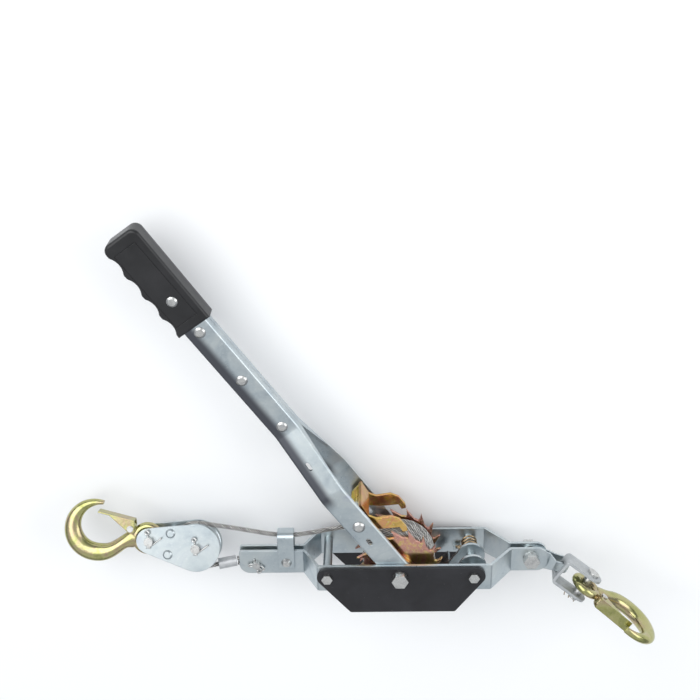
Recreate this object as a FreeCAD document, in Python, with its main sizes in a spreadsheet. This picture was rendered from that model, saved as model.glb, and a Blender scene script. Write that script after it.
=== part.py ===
import FreeCAD, Part
import math
import os
import re
import Sketcher

# Come-along winch lying on its side: X along the frame to the anchor end, Y up the frame's height,
# Z from the table through the axle. Every piece of the frame is placed from the axle's centre.

doc = FreeCAD.newDocument("ComeAlongWinch")
sheet = doc.addObject("Spreadsheet::Sheet", "Sizes")
sizes = {
    # Place of the axle
    "axleX": 41.56,  # axle from the middle of the whole length
    "axleY": -144.01,  # axle from the middle of the whole width
    "axleZ": 48.0,  # middle plane above the table
    # Frame straps
    "strapThick": 3.0,  # strap steel
    "strapHalf": 33.5,  # middle plane to the outer face of the wide part
    "neckGap": 6.6,  # clear gap between the two necks
    "strapTop": 12.0,  # axle to the strap's upper edge
    "strapLow": 18.0,  # axle to the wide part's lower edge
    "neckLow": 15.5,  # axle to the necks' lower edge
    "leftWide": 84.3,  # axle to the left end of the wide part
    "leftJoggle": 15.7,  # length of the left joggle
    "leftEnd": 167.0,  # axle to the left end of the necks
    "rightWide": 93.4,  # axle to the right end of the wide part
    "rightJoggle": 23.6,  # length of the right joggle
    "rightEnd": 155.0,  # axle to the right end of the necks
    "bendRound": 4.0,  # outside radius of the strap bends
    "neckEndRound": 11.0,  # large corner radius of the neck ends
    "neckSmallRound": 3.0,  # small corner radius of the neck ends
    # Side plates
    "plateThick": 3.0,  # side plate steel
    "plateTop": 10.4,  # axle to the side plate's upper edge
    "plateLow": 44.0,  # axle to the side plate's lower edge
    "plateFootLeft": 51.0,  # axle to the lower left corner
    "plateFootRight": 57.0,  # axle to the lower right corner
    "plateOverhang": 22.1,  # end bolt to the sharp upper corner
    "plateEndRound": 10.3,  # radius round each end bolt
    "plateFootRound": 3.0,  # radius of the lower corners
    # Bolts
    "axleRound": 5.0,  # axle bolt radius
    "axleFlats": 15.0,  # axle bolt across flats
    "axleHead": 6.4,  # axle bolt head
    "axleWasher": 2.0,  # washer under the axle head and nut
    "axleWasherRound": 7.6,  # washer radius
    "axleNut": 8.0,  # axle nut
    "axleTail": 1.5,  # thread beyond the axle nut
    "endRound": 3.0,  # end bolt radius
    "endFlats": 10.0,  # end bolt across flats
    "endHead": 4.0,  # end bolt head
    "endNut": 5.0,  # end bolt nut
    "endTail": 1.5,  # thread beyond the end nuts
    "leftBoltIn": 9.9,  # left end of the wide part back to the left end bolt
    "rightBoltIn": 17.9,  # right end of the wide part back to the right end bolt
    "spacerRound": 4.7,  # radius of the spacer tubes on the end bolts
    "boltPlay": 0.1,  # radial clearance of bolts in plate holes
    "neckBoltX": 137.5,  # axle to the neck bolt
    "neckBoltRound": 5.0,  # neck bolt radius
    "neckBoltTail": 2.0,  # thread beyond the neck nut
    # Ratchet wheels and drum
    "toothCount": 17,  # teeth on each ratchet wheel
    "toothTip": 46.0,  # radius of the tooth tips
    "toothRoot": 37.5,  # radius of the tooth roots
    "toothTurn": 79.3,  # angle of one tooth tip from X
    "toothPlane": 19.5,  # middle plane to the middle of a wheel's teeth
    "wheelThick": 3.0,  # ratchet wheel steel
    "wheelPlay": 0.05,  # radial running clearance on the axle
    "hubRound": 15.0,  # radius of the drum's core
    "woundRound": 38.0,  # outside radius of the wound rope
    "woundTurns": 4.75,  # turns in the outer layer
    "woundFrom": 12.5,  # middle plane back to the turn that leaves the drum
    "woundTo": 15.0,  # middle plane forward to the last turn
    "woundTurn": 92.0,  # angle from X where the rope leaves the drum
    "ropeRound": 2.5,  # rope radius
    # Handle
    "handleTurn": 125.2,  # handle direction from X
    "handleSheet": 3.0,  # handle sheet
    "armWidth": 27.0,  # width of the handle's sheet
    "armHalf": 29.8,  # middle plane to the outer face at the axle
    "kneeHalf": 30.6,  # middle plane to the outer face at the knee
    "kneeAt": 115.0,  # axle to the knee
    "joinAt": 192.0,  # axle to where the halves meet
    "channelHalf": 9.0,  # middle plane to the outer face of the channel
    "kneeRound": 24.0,  # outside bend radius of the handle halves
    "armEnd": 14.0,  # arm's length past the axle
    "stemEnd": 432.0,  # axle to the end of the halves in the grip
    "seamGap": 0.4,  # gap between the two halves at the seam
    "rivetRound": 4.0,  # handle rivet shank radius
    "rivetFirst": 199.0,  # axle to the first handle rivet
    "rivetPitch": 63.0,  # spacing of the handle rivets
    "lowSlotAt": 50.0,  # axle to the slot between the pawl's pin and the axle
    "slotRound": 2.2,  # half the slots' width
    "slotReach": 2.4,  # slot's middle to the centres of its round ends
    "slotAside": 2.0,  # slots aside of the arm's middle line
    "slotHoleAt": 152.0,  # axle to the splayed part's slot hole
    # Grip
    "gripStart": 332.0,  # axle to the grip's mouth
    "scallopFirst": 14.0,  # grip's mouth to the first finger hollow
    "scallopPitch": 25.0,  # finger hollow to finger hollow
    "scallopRound": 16.5,  # radius of the finger hollows
    "scallopDeep": 3.3,  # depth of the finger hollows
    "panelDeep": 0.4,  # depth of the line round the grip's panel
    "gripEnd": 442.0,  # axle to the grip's far end
    "gripWide": 39.0,  # grip's depth across the fingers
    "gripSoft": 3.0,  # round of the grip's long edges
    "crestRound": 5.0,  # round of the grip's finger crests
    "gripHalf": 11.2,  # half the grip's thickness
    "gripRivetAt": 365.0,  # axle to the grip's rivet
    "gripRivetRound": 5.5,  # grip rivet head radius
    # Holding pawl and its spring
    "holdRound": 14.5,  # radius of the holding pawl's boss
    "holdReach": 39.7,  # pin to the holding pawl's tooth
    "holdTurn": 214.6,  # direction of the holding pawl from X, lifted just clear
    "holdPlate": 3.0,  # holding pawl steel
    "holdEar": 1.0,  # front face of the holding pawl's rear ear
    "springWire": 1.1,  # radius of the holding spring's wire
    "springCoil": 7.4,  # middle radius of the holding spring
    "springTurns": 4.5,  # turns of the holding spring
    "springLeg": 14.0,  # length of the holding spring's legs
    "tabHigh": 7.0,  # spring tab's height from the back strap
    "tabLong": 8.0,  # spring tab's length
    "tabThick": 2.3,  # spring tab's thickness
    "springPitch": 5.0,  # rise of the holding spring in a turn
    # Drive pawl
    "drivePin": 71.0,  # axle to the drive pawl's pin
    "drivePinRound": 4.0,  # drive pawl pin radius
    "drivePlate": 3.0,  # drive pawl steel
    "driveHalf": 22.0,  # middle plane to the drive pawl's outer faces
    "driveReach": 47.0,  # pin to the drive pawl's tooth edge
    "driveLift": 9.0,  # lift of the drive pawl clear of the teeth
    # Rope clip, anchor pin and dead end
    "clipX": 117.6,  # axle to the rope clip's bolt
    "clipWide": 17.0,  # rope clip width
    "clipRopeIn": 28.4,  # height of the rope where it enters the clip
    "clipRopeOut": 27.4,  # height of the rope where it leaves the clip
    "clipRopeLow": 0.3,  # the rope under the axle's level in the clip
    "clipLead": 3.0,  # straight rope beside the clip
    "sheaveLead": 34.0,  # straight rope after the sheave
    "drumLead": 24.0,  # straight rope before the drum
    "ferruleLead": 1.5,  # rope between its eye and the ferrule
    "cutLong": 600.0,  # depth of a cut through everything
    "clipThick": 2.5,  # rope clip steel
    "clipBoltY": 1.0,  # axle down to the rope clip's bolt
    "clipTop": 34.0,  # axle to the top of the clip's fold
    "clipLow": 8.5,  # axle to the clip's lower end
    "clipBoltRound": 3.0,  # clip bolt radius
    "clipHead": 5.5,  # clip bolt head radius
    "anchorX": 149.4,  # axle to the rope's anchor pin
    "anchorY": 3.6,  # axle down to the rope's anchor pin
    "anchorRound": 4.0,  # anchor pin radius
    "ropeEye": 20.0,  # anchor pin to the ferrule
    "ferruleRound": 5.8,  # ferrule radius
    "ferruleLong": 19.0,  # ferrule length
    # Block
    "blockX": 210.8,  # axle to the sheave's pin
    "blockY": 16.0,  # axle up to the sheave's pin
    "blockTilt": 20.0,  # lean of the block and load hook
    "blockRise": 9.3,  # rise of the block's axis toward the hook
    "blockPins": 49.0,  # sheave pin to hook pin
    "blockBig": 25.0,  # plate radius round the sheave's pin
    "blockSmall": 13.3,  # plate radius round the hook's pin
    "blockInner": 8.5,  # middle plane to the plates' inner faces
    "blockPlate": 2.5,  # block plate steel
    "sheavePin": 4.7,  # sheave pin radius
    "hookPin": 4.7,  # hook pin radius
    "cotterRound": 1.0,  # radius of the split pins
    "pinOver": 5.0,  # pins beyond the plates
    "sheaveHalf": 6.5,  # half the sheave's width
    "sheaveRope": 24.0,  # radius of the rope's centre on the sheave
    "spacerAt": 28.0,  # sheave pin to the spacer rivets
    "spacerSide": 11.4,  # spacer rivets off the block's axis
    "spacerDisc": 5.0,  # spacer rivet head radius
    "rivetShank": 3.0,  # spacer rivet radius
    "rivetHead": 1.4,  # height of the rivet heads
    # Hooks
    "eyeOuter": 17.0,  # hook eye outside radius
    "eyeHole": 8.0,  # hook eye hole radius
    "eyeThick": 10.0,  # hook eye thickness
    "bowlAt": 57.0,  # hook pin to the bowl's centre
    "bowlOuter": 35.0,  # hook bowl outside radius
    "bowlInner": 15.3,  # hook bowl inside radius
    "bowlThick": 15.0,  # hook bowl thickness
    "tipThick": 7.0,  # thickness of the hook's point
    "latchAt": 22.0,  # hook pin to the latch rivet
    "latchSide": 8.5,  # latch rivet off the hook's axis
    "latchRivet": 2.0,  # latch rivet radius
    "latchSheet": 1.4,  # latch sheet
    "latchWide": 12.0,  # latch width
    "latchReach": 35.5,  # latch rivet to the latch's tip
    "latchBack": 3.0,  # latch rivet back to the leaf's heel
    "latchHeel": 9.3,  # latch rivet out to the leaf's heel
    "latchTip": 13.5,  # latch rivet out to the leaf's tip
    "cheekReach": 23.0,  # latch rivet to the cheeks' far end
    "cheekBack": 4.5,  # latch rivet back to the cheeks' end
    "latchHead": 3.4,  # latch rivet head radius
    "latchHeadHigh": 1.2,  # latch rivet head height
    # Anchor chain
    "linkTurn": -20.0,  # direction of the link strap from X
    "linkSheet": 2.0,  # link strap sheet
    "linkLoop": 36.0,  # neck bolt to the loop's centre
    "linkBore": 6.0,  # inside radius of the loop
    "rimBack": 1.5,  # loop's centre back to the bracket's rim
    "linkTall": 11.0,  # link strap height at the loop
    "bracketWide": 22.0,  # bracket strap width
    "bracketThick": 3.0,  # bracket strap steel
    "bracketHalf": 12.0,  # half the bracket's inside width
    "bracketHole": 7.5,  # radius of the hole in the bracket's web
    "bracketReach": 30.3,  # web to the bracket's pin
    "bracketPin": 5.0,  # bracket pin radius
    "slideClear": 0.3,  # clearance between flat faces that move past each other
}

sizes["leftBoltX"] = sizes["leftWide"] - sizes["leftBoltIn"]
sizes["rightBoltX"] = sizes["rightWide"] - sizes["rightBoltIn"]

for row, (name, value) in enumerate(sizes.items(), 1):
    sheet.set("A%d" % row, name)
    sheet.set("B%d" % row, str(value))
    sheet.setAlias("B%d" % row, name)

doc.recompute()
names = re.compile(r"[A-Za-z][A-Za-z0-9]*")
nodes = []
V = FreeCAD.Vector


def rule(text):
    return names.sub(lambda m: "Sizes." + m.group() if m.group() in sizes else m.group(), text)


def bind(item, prop, text):
    item.setExpression(prop, rule(text))


def at(name):
    return sizes[name]


def planeOf(body, role):
    return [f for f in body.Origin.OriginFeatures if f.Role == role][0]


def newBody(label):
    body = doc.addObject("PartDesign::Body", label)
    body.Label = label
    nodes.append(body)
    return body


def newSketch(body, role, lift="0"):
    sketch = body.newObject("Sketcher::SketchObject", body.Label + "_sketch")
    sketch.AttachmentSupport = [(planeOf(body, role), "")]
    sketch.MapMode = "FlatFace"
    bind(sketch, "AttachmentOffset.Base.z", lift)
    return sketch


def polygon(sketch, corners):
    count = len(corners)
    first = len(sketch.Geometry)
    for i in range(count):
        a = 2 * math.pi * i / count
        b = 2 * math.pi * (i + 1) / count
        sketch.addGeometry(Part.LineSegment(V(math.cos(a), math.sin(a)), V(math.cos(b), math.sin(b))))
    for i in range(count):
        nextOne = first + (i + 1) % count
        sketch.addConstraint(Sketcher.Constraint("Coincident", first + i, 2, nextOne, 1))
    for i, corner in enumerate(corners):
        for kind, text in zip(("DistanceX", "DistanceY"), corner):
            spot = sketch.addConstraint(Sketcher.Constraint(kind, -1, 1, first + i, 1, 1.0))
            bind(sketch, "Constraints[%d]" % spot, text)


def disc(sketch, x, y, radius):
    which = sketch.addGeometry(Part.Circle(V(0, 0), V(0, 0, 1), 1))
    for kind, text in zip(("DistanceX", "DistanceY"), (x, y)):
        spot = sketch.addConstraint(Sketcher.Constraint(kind, -1, 1, which, 3, 1.0))
        bind(sketch, "Constraints[%d]" % spot, text)
    spot = sketch.addConstraint(Sketcher.Constraint("Radius", which, 1.0))
    bind(sketch, "Constraints[%d]" % spot, radius)


def pad(body, sketch, length, symmetric=False, reverse=False):
    feature = body.newObject("PartDesign::Pad", body.Label + "_pad")
    feature.Profile = sketch
    bind(feature, "Length", length)
    feature.SideType = "Symmetric" if symmetric else "One side"
    feature.Reversed = reverse
    doc.recompute()
    return feature


def pocketThrough(body, sketch):
    before = body.Tip.Shape.Volume
    feature = body.newObject("PartDesign::Pocket", body.Label + "_pocket")
    feature.Profile = sketch
    feature.Length = at("cutLong")
    feature.SideType = "Symmetric"
    doc.recompute()
    if not feature.Shape.Volume < before - 0.1:
        raise RuntimeError("nothing cut from " + body.Label)
    return feature


def roundEdges(body, radius, spots, direction, reach=0.2):
    tip = body.Tip
    shape = tip.Shape
    picked = []
    for i, edge in enumerate(shape.Edges):
        if not isinstance(edge.Curve, Part.Line):
            continue
        if abs(abs(edge.Curve.Direction.dot(direction)) - 1) > 1e-6:
            continue
        middle = edge.valueAt((edge.FirstParameter + edge.LastParameter) / 2)
        for spot in spots:
            away = V(*spot) - middle
            away = away - direction * away.dot(direction)
            if away.Length < reach:
                picked.append("Edge%d" % (i + 1))
    if not picked:
        raise RuntimeError("no edge to round on " + body.Label)
    feature = body.newObject("PartDesign::Fillet", body.Label + "_round")
    feature.Base = (tip, sorted(set(picked)))
    bind(feature, "Radius", radius)
    doc.recompute()
    return feature


def toWinch(item, z="0", x="0", y="0"):
    bind(item, "Placement.Base.x", "axleX + (" + x + ")")
    bind(item, "Placement.Base.y", "axleY + (" + y + ")")
    bind(item, "Placement.Base.z", "axleZ + (" + z + ")")
    return item


def rod(name, radius, length, x="0", y="0", z="0"):
    item = doc.addObject("Part::Cylinder", name)
    bind(item, "Radius", radius)
    bind(item, "Height", length)
    bind(item, "Placement.Base.x", x)
    bind(item, "Placement.Base.y", y)
    bind(item, "Placement.Base.z", z)
    return item


def hexagon(name, flats, height, x="0", y="0", z="0"):
    item = doc.addObject("Part::Prism", name)
    item.Polygon = 6
    bind(item, "Circumradius", "(" + flats + ") / sqrt(3)")
    bind(item, "Height", height)
    bind(item, "Placement.Base.x", x)
    bind(item, "Placement.Base.y", y)
    bind(item, "Placement.Base.z", z)
    return item


def fuse(name, items):
    item = doc.addObject("Part::MultiFuse", name)
    item.Shapes = items
    item.Refine = True
    return item


def cut(name, base, tool):
    item = doc.addObject("Part::Cut", name)
    item.Base = base
    item.Tool = tool
    return item


def together(name, items):
    item = doc.addObject("Part::Compound", name)
    item.Links = items
    return item


def node(item, label):
    item.Label = label
    nodes.append(item)
    return item


def shaped(label, shape, placement=None):
    item = doc.addObject("Part::Feature", label)
    item.Shape = shape
    if placement is not None:
        item.Placement = placement
    return node(item, label)


# Front and back frame straps: a flat bar with a wide middle and a joggle down to each neck
def frameStrap(label, side):
    body = newBody(label)
    out = "" if side > 0 else "-1 * "
    leftShift = "strapThick * tan(atan2(strapHalf - neckGap / 2 - strapThick; leftJoggle) / 2)"
    rightShift = "strapThick * tan(atan2(strapHalf - neckGap / 2 - strapThick; rightJoggle) / 2)"
    neckOut = out + "(neckGap / 2 + strapThick)"
    neckIn = out + "neckGap / 2"
    wideOut = out + "strapHalf"
    wideIn = out + "(strapHalf - strapThick)"
    outer = [("-leftEnd", neckOut),
             ("-leftWide - leftJoggle", neckOut),
             ("-leftWide", wideOut),
             ("rightWide", wideOut),
             ("rightWide + rightJoggle", neckOut),
             ("rightEnd", neckOut)]
    inner = [("rightEnd", neckIn),
             ("rightWide + rightJoggle - " + rightShift, neckIn),
             ("rightWide - " + rightShift, wideIn),
             ("-leftWide + " + leftShift, wideIn),
             ("-leftWide - leftJoggle + " + leftShift, neckIn),
             ("-leftEnd", neckIn)]
    bar = newSketch(body, "XZ_Plane", "strapLow")
    polygon(bar, outer + inner)
    pad(body, bar, "strapTop + strapLow", reverse=True)
    y = V(0, 1, 0)
    turn = math.atan2(at("strapHalf") - at("neckGap") / 2 - at("strapThick"), at("leftJoggle"))
    left = at("strapThick") * math.tan(turn / 2)
    turn = math.atan2(at("strapHalf") - at("neckGap") / 2 - at("strapThick"), at("rightJoggle"))
    right = at("strapThick") * math.tan(turn / 2)
    wideIn = side * (at("strapHalf") - at("strapThick"))
    neckOut = side * (at("neckGap") / 2 + at("strapThick"))
    convex = [(-at("leftWide"), 0, side * at("strapHalf")),
              (at("rightWide"), 0, side * at("strapHalf")),
              (-at("leftWide") - at("leftJoggle") + left, 0, side * at("neckGap") / 2),
              (at("rightWide") + at("rightJoggle") - right, 0, side * at("neckGap") / 2)]
    concave = [(-at("leftWide") + left, 0, wideIn),
               (at("rightWide") - right, 0, wideIn),
               (-at("leftWide") - at("leftJoggle"), 0, neckOut),
               (at("rightWide") + at("rightJoggle"), 0, neckOut)]
    roundEdges(body, "bendRound", convex, y)
    roundEdges(body, "bendRound - strapThick", concave, y)
    z = V(0, 0, 1)
    x = V(1, 0, 0)
    zMid = side * (at("neckGap") + at("strapThick")) / 2
    trim = newSketch(body, "XY_Plane")
    polygon(trim, [("-leftEnd - 1", "-strapLow - 1"), ("-leftWide", "-strapLow - 1"),
                   ("-leftWide", "-strapLow"), ("-leftWide - leftJoggle", "-neckLow"),
                   ("-leftEnd - 1", "-neckLow")])
    polygon(trim, [("rightEnd + 1", "-strapLow - 1"), ("rightWide", "-strapLow - 1"),
                   ("rightWide", "-strapLow"), ("rightWide + rightJoggle", "-neckLow"),
                   ("rightEnd + 1", "-neckLow")])
    pocketThrough(body, trim)
    roundEdges(body, "neckEndRound", [(-at("leftEnd"), -at("neckLow"), zMid),
                                      (at("rightEnd"), -at("neckLow"), zMid)], z)
    roundEdges(body, "neckSmallRound", [(-at("leftEnd"), at("strapTop"), zMid)], z)
    roundEdges(body, "neckEndRound", [(at("rightEnd"), at("strapTop"), zMid)], z)
    holes = newSketch(body, "XY_Plane")
    disc(holes, "0", "0", "axleRound + boltPlay")
    disc(holes, "-leftBoltX", "0", "endRound + boltPlay")
    disc(holes, "rightBoltX", "0", "endRound + boltPlay")
    disc(holes, "neckBoltX", "0", "neckBoltRound + boltPlay")
    disc(holes, "-clipX", "-clipBoltY", "clipBoltRound + boltPlay")
    disc(holes, "-anchorX", "-anchorY", "anchorRound + boltPlay")
    pocketThrough(body, holes)
    if side < 0:
        tab = newSketch(body, "XY_Plane", "-(strapHalf - strapThick)")
        left = "rightBoltX - springLeg - 2"
        top = "-(springCoil + springWire + slideClear)"
        polygon(tab, [(left, top), (left + " + tabLong", top), (left + " + tabLong", top + " - tabThick"),
                      (left, top + " - tabThick")])
        pad(body, tab, "tabHigh")
    toWinch(body)
    return body


frameStrap("front_strap", 1)
frameStrap("back_strap", -1)


# Black side plates outside the straps
def sidePlate(label, side):
    body = newBody(label)
    lift = "strapHalf" if side > 0 else "-strapHalf - plateThick"
    face = newSketch(body, "XY_Plane", lift)
    polygon(face, [("-leftBoltX - plateOverhang", "plateTop"), ("-plateFootLeft", "-plateLow"),
                   ("plateFootRight", "-plateLow"), ("rightBoltX + plateOverhang", "plateTop")])
    pad(body, face, "plateThick")
    z = V(0, 0, 1)
    roundEdges(body, "plateEndRound", [(-at("leftBoltX") - at("plateOverhang"), at("plateTop"), 0),
                                       (at("rightBoltX") + at("plateOverhang"), at("plateTop"), 0)], z)
    roundEdges(body, "plateFootRound", [(-at("plateFootLeft"), -at("plateLow"), 0),
                                        (at("plateFootRight"), -at("plateLow"), 0)], z)
    holes = newSketch(body, "XY_Plane")
    disc(holes, "0", "0", "axleRound + boltPlay")
    disc(holes, "-leftBoltX", "0", "endRound + boltPlay")
    disc(holes, "rightBoltX", "0", "endRound + boltPlay")
    pocketThrough(body, holes)
    toWinch(body)


sidePlate("front_side_plate", 1)
sidePlate("back_side_plate", -1)


# Axle bolt, its washers and nut
stack = "strapHalf + plateThick + axleWasher"
head = hexagon("axle_head", "axleFlats", "axleHead", z=stack)
shank = rod("axle_shank", "axleRound", "2 * (" + stack + ") + axleNut + axleTail",
            z="-(" + stack + ") - axleNut - axleTail")
toWinch(node(fuse("axle_bolt", [head, shank]), "axle_bolt"))
nutHex = hexagon("axle_nut_hex", "axleFlats", "axleNut", z="-(" + stack + ") - axleNut")
nutBore = rod("axle_nut_bore", "axleRound", "axleNut + 2", z="-(" + stack + ") - axleNut - 1")
toWinch(node(cut("axle_nut", nutHex, nutBore), "axle_nut"))
rings = []
for name, low in (("front", "strapHalf + plateThick"), ("back", "-(" + stack + ")")):
    ring = rod(name + "_washer_disc", "axleWasherRound", "axleWasher", z=low)
    bore = rod(name + "_washer_bore", "axleRound + boltPlay", "axleWasher + 2", z=low + " - 1")
    rings.append(cut(name + "_washer", ring, bore))
toWinch(node(together("axle_washers", rings), "axle_washers"))

# End bolts, their nuts and the spacer tubes between the straps
bolts = []
nuts = []
for name, x in (("left", "-leftBoltX"), ("right", "rightBoltX")):
    face = "strapHalf + plateThick"
    head = hexagon(name + "_end_head", "endFlats", "endHead", x=x, z=face)
    shank = rod(name + "_end_shank", "endRound", "2 * (" + face + ") + endNut + endTail",
                x=x, z="-(" + face + ") - endNut - endTail")
    bolts.append(fuse(name + "_end_bolt", [head, shank]))
    nutHex = hexagon(name + "_end_nut_hex", "endFlats", "endNut", x=x, z="-(" + face + ") - endNut")
    bore = rod(name + "_end_nut_bore", "endRound", "endNut + 2", x=x, z="-(" + face + ") - endNut - 1")
    nuts.append(cut(name + "_end_nut", nutHex, bore))
    tube = rod(name + "_tube", "spacerRound", "2 * (strapHalf - strapThick)",
               x=x, z="-(strapHalf - strapThick)")
    bore = rod(name + "_tube_bore", "endRound + boltPlay", "2 * strapHalf", x=x, z="-strapHalf")
    toWinch(node(cut(name + "_spacer_tube", tube, bore), name + "_spacer_tube"))
toWinch(node(together("end_bolts", bolts), "end_bolts"))
toWinch(node(together("end_nuts", nuts), "end_nuts"))

# Neck bolt that carries the link strap
neck = "neckGap / 2 + strapThick"
head = hexagon("neck_head", "axleFlats", "axleHead", x="neckBoltX", z=neck + " + axleWasher")
shank = rod("neck_shank", "neckBoltRound", "2 * (" + neck + ") + 2 * axleWasher + axleNut + neckBoltTail",
            x="neckBoltX", z="-(" + neck + ") - axleWasher - axleNut - neckBoltTail")
toWinch(node(fuse("neck_bolt", [head, shank]), "neck_bolt"))
nutHex = hexagon("neck_nut_hex", "axleFlats", "axleNut", x="neckBoltX",
                 z="-(" + neck + ") - axleWasher - axleNut")
nutBore = rod("neck_nut_bore", "neckBoltRound", "axleNut + 2", x="neckBoltX",
              z="-(" + neck + ") - axleWasher - axleNut - 1")
toWinch(node(cut("neck_nut", nutHex, nutBore), "neck_nut"))
rings = []
for name, low in (("front", neck), ("back", "-(" + neck + ") - axleWasher")):
    ring = rod(name + "_neck_disc", "axleWasherRound", "axleWasher", x="neckBoltX", z=low)
    bore = rod(name + "_neck_bore", "neckBoltRound + boltPlay", "axleWasher + 2",
               x="neckBoltX", z=low + " - 1")
    rings.append(cut(name + "_neck_washer", ring, bore))
toWinch(node(together("neck_washers", rings), "neck_washers"))


# Tubes and springs follow unbroken paths of lines and arcs
def arcFrom(start, tangent, end):
    chord = end - start
    along = V(chord).normalize()
    side = tangent - along * tangent.dot(along)
    if side.Length < 1e-6:
        return Part.LineSegment(start, end).toShape()
    half = math.atan2(side.Length, tangent.dot(along)) / 2
    middle = start + chord * 0.5 + side.normalize() * (chord.Length / 2 * math.tan(half))
    return Part.Arc(start, middle, end).toShape()


def biarc(start, startWay, end, endWay):
    chord = end - start
    both = startWay + endWay
    spread = 2 * (1 - startWay.dot(endWay))
    if spread < 1e-9:
        return [Part.LineSegment(start, end).toShape()]
    dot = chord.dot(both)
    reach = (-dot + math.sqrt(dot * dot + spread * chord.dot(chord))) / spread
    middle = (start + end + (startWay - endWay) * reach) * 0.5
    first = arcFrom(start, startWay, middle)
    back = arcFrom(end, endWay * -1, middle)
    return [first, Part.Arc(middle, back.valueAt((back.FirstParameter + back.LastParameter) / 2), end).toShape()]


def tubeAlong(edges, radius):
    path = Part.Wire(edges)
    first = edges[0]
    start = first.valueAt(first.FirstParameter)
    ring = Part.Wire([Part.Circle(start, first.tangentAt(first.FirstParameter), radius).toShape()])
    shell = Part.BRepOffsetAPI.MakePipeShell(path)
    shell.add(ring)
    shell.build()
    shell.makeSolid()
    return shell.shape()


def coilPath(radius, pitch, turns, startAngle, lead, way=1):
    spots = []
    ways = []
    steps = int(round(turns * 4))
    rise = pitch / (2 * math.pi * radius)
    for i in range(steps + 1):
        angle = startAngle + way * i * math.pi / 2
        spots.append(V(radius * math.cos(angle), radius * math.sin(angle), pitch * i / 4))
        climb = 0 if i in (0, steps) else rise
        ways.append(V(-way * math.sin(angle), way * math.cos(angle), climb).normalize())
    edges = [Part.LineSegment(spots[0] - ways[0] * lead, spots[0]).toShape()]
    for i in range(steps):
        edges += biarc(spots[i], ways[i], spots[i + 1], ways[i + 1])
    edges.append(Part.LineSegment(spots[-1], spots[-1] + ways[-1] * lead).toShape())
    return edges


def leastSelfGap(edges, radius, pitch):
    spots = []
    for edge in edges:
        for k in range(8):
            step = (edge.LastParameter - edge.FirstParameter) * k / 8
            spots.append(edge.valueAt(edge.FirstParameter + step))
    least = 1e9
    far = int(8 * 4)
    for i in range(len(spots)):
        for j in range(i + far, len(spots)):
            least = min(least, (spots[i] - spots[j]).Length)
    return least - 2 * radius


# Ratchet wheels: a disc with a patterned tooth and a hub that reaches the handle's arm
def ratchetWheel(label, side):
    body = newBody(label)
    low = "toothPlane - wheelThick / 2" if side > 0 else "-toothPlane - wheelThick / 2"
    face = newSketch(body, "XY_Plane", low)
    disc(face, "0", "0", "toothRoot")
    disc(face, "0", "0", "axleRound + wheelPlay")
    pad(body, face, "wheelThick")
    tooth = newSketch(body, "XY_Plane", low)
    step = "360 / toothCount"
    polygon(tooth, [("toothTip * cos(toothTurn)", "toothTip * sin(toothTurn)"),
                    ("(toothRoot + 3) * cos(toothTurn - " + step + " * 0.42)",
                     "(toothRoot + 3) * sin(toothTurn - " + step + " * 0.42)"),
                    ("(toothRoot - 1) * cos(toothTurn - " + step + " * 0.9)",
                     "(toothRoot - 1) * sin(toothTurn - " + step + " * 0.9)"),
                    ("(toothRoot - 1) * cos(toothTurn - " + step + " * 0.1)",
                     "(toothRoot - 1) * sin(toothTurn - " + step + " * 0.1)"),
                    ("(toothRoot + 2) * cos(toothTurn - " + step + " * 0.14)",
                     "(toothRoot + 2) * sin(toothTurn - " + step + " * 0.14)")])
    single = pad(body, tooth, "wheelThick")
    ring = body.newObject("PartDesign::PolarPattern", label + "_teeth")
    ring.Originals = [single]
    ring.Axis = ([f for f in body.Origin.OriginFeatures if f.Role == "Z_Axis"][0], [""])
    ring.Angle = 360
    bind(ring, "Occurrences", "toothCount")
    body.Tip = ring
    doc.recompute()
    hubLow = "toothPlane + wheelThick / 2" if side > 0 else "-(armHalf - handleSheet - slideClear)"
    hub = newSketch(body, "XY_Plane", hubLow)
    disc(hub, "0", "0", "hubRound")
    disc(hub, "0", "0", "axleRound + wheelPlay")
    pad(body, hub, "armHalf - handleSheet - slideClear - toothPlane - wheelThick / 2")
    toWinch(body)


ratchetWheel("front_ratchet_wheel", 1)
ratchetWheel("back_ratchet_wheel", -1)

# Drum core and the outer layer of wound rope
wide = "toothPlane - wheelThick / 2"
core = rod("core_disc", "woundRound - 2 * ropeRound - 0.1", "2 * (" + wide + ")", z="-(" + wide + ")")
bore = rod("core_bore", "axleRound + wheelPlay", "2 * toothPlane", z="-toothPlane")
toWinch(node(cut("drum_core", core, bore), "drum_core"))
windPitch = (at("woundFrom") + at("woundTo")) / at("woundTurns")
windRadius = at("woundRound") - at("ropeRound")
winding = coilPath(windRadius, windPitch, at("woundTurns"), math.radians(at("woundTurn")),
                   2 * at("ropeRound"), way=-1)
print("rope winding: least gap %.2f" % leastSelfGap(winding, at("ropeRound"), windPitch))
wound = tubeAlong(winding, at("ropeRound"))
axleSpot = V(at("axleX"), at("axleY"), at("axleZ"))
woundSpot = axleSpot - V(0, 0, at("woundFrom"))
shaped("wound_rope", wound, FreeCAD.Placement(woundSpot, FreeCAD.Rotation()))


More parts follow.
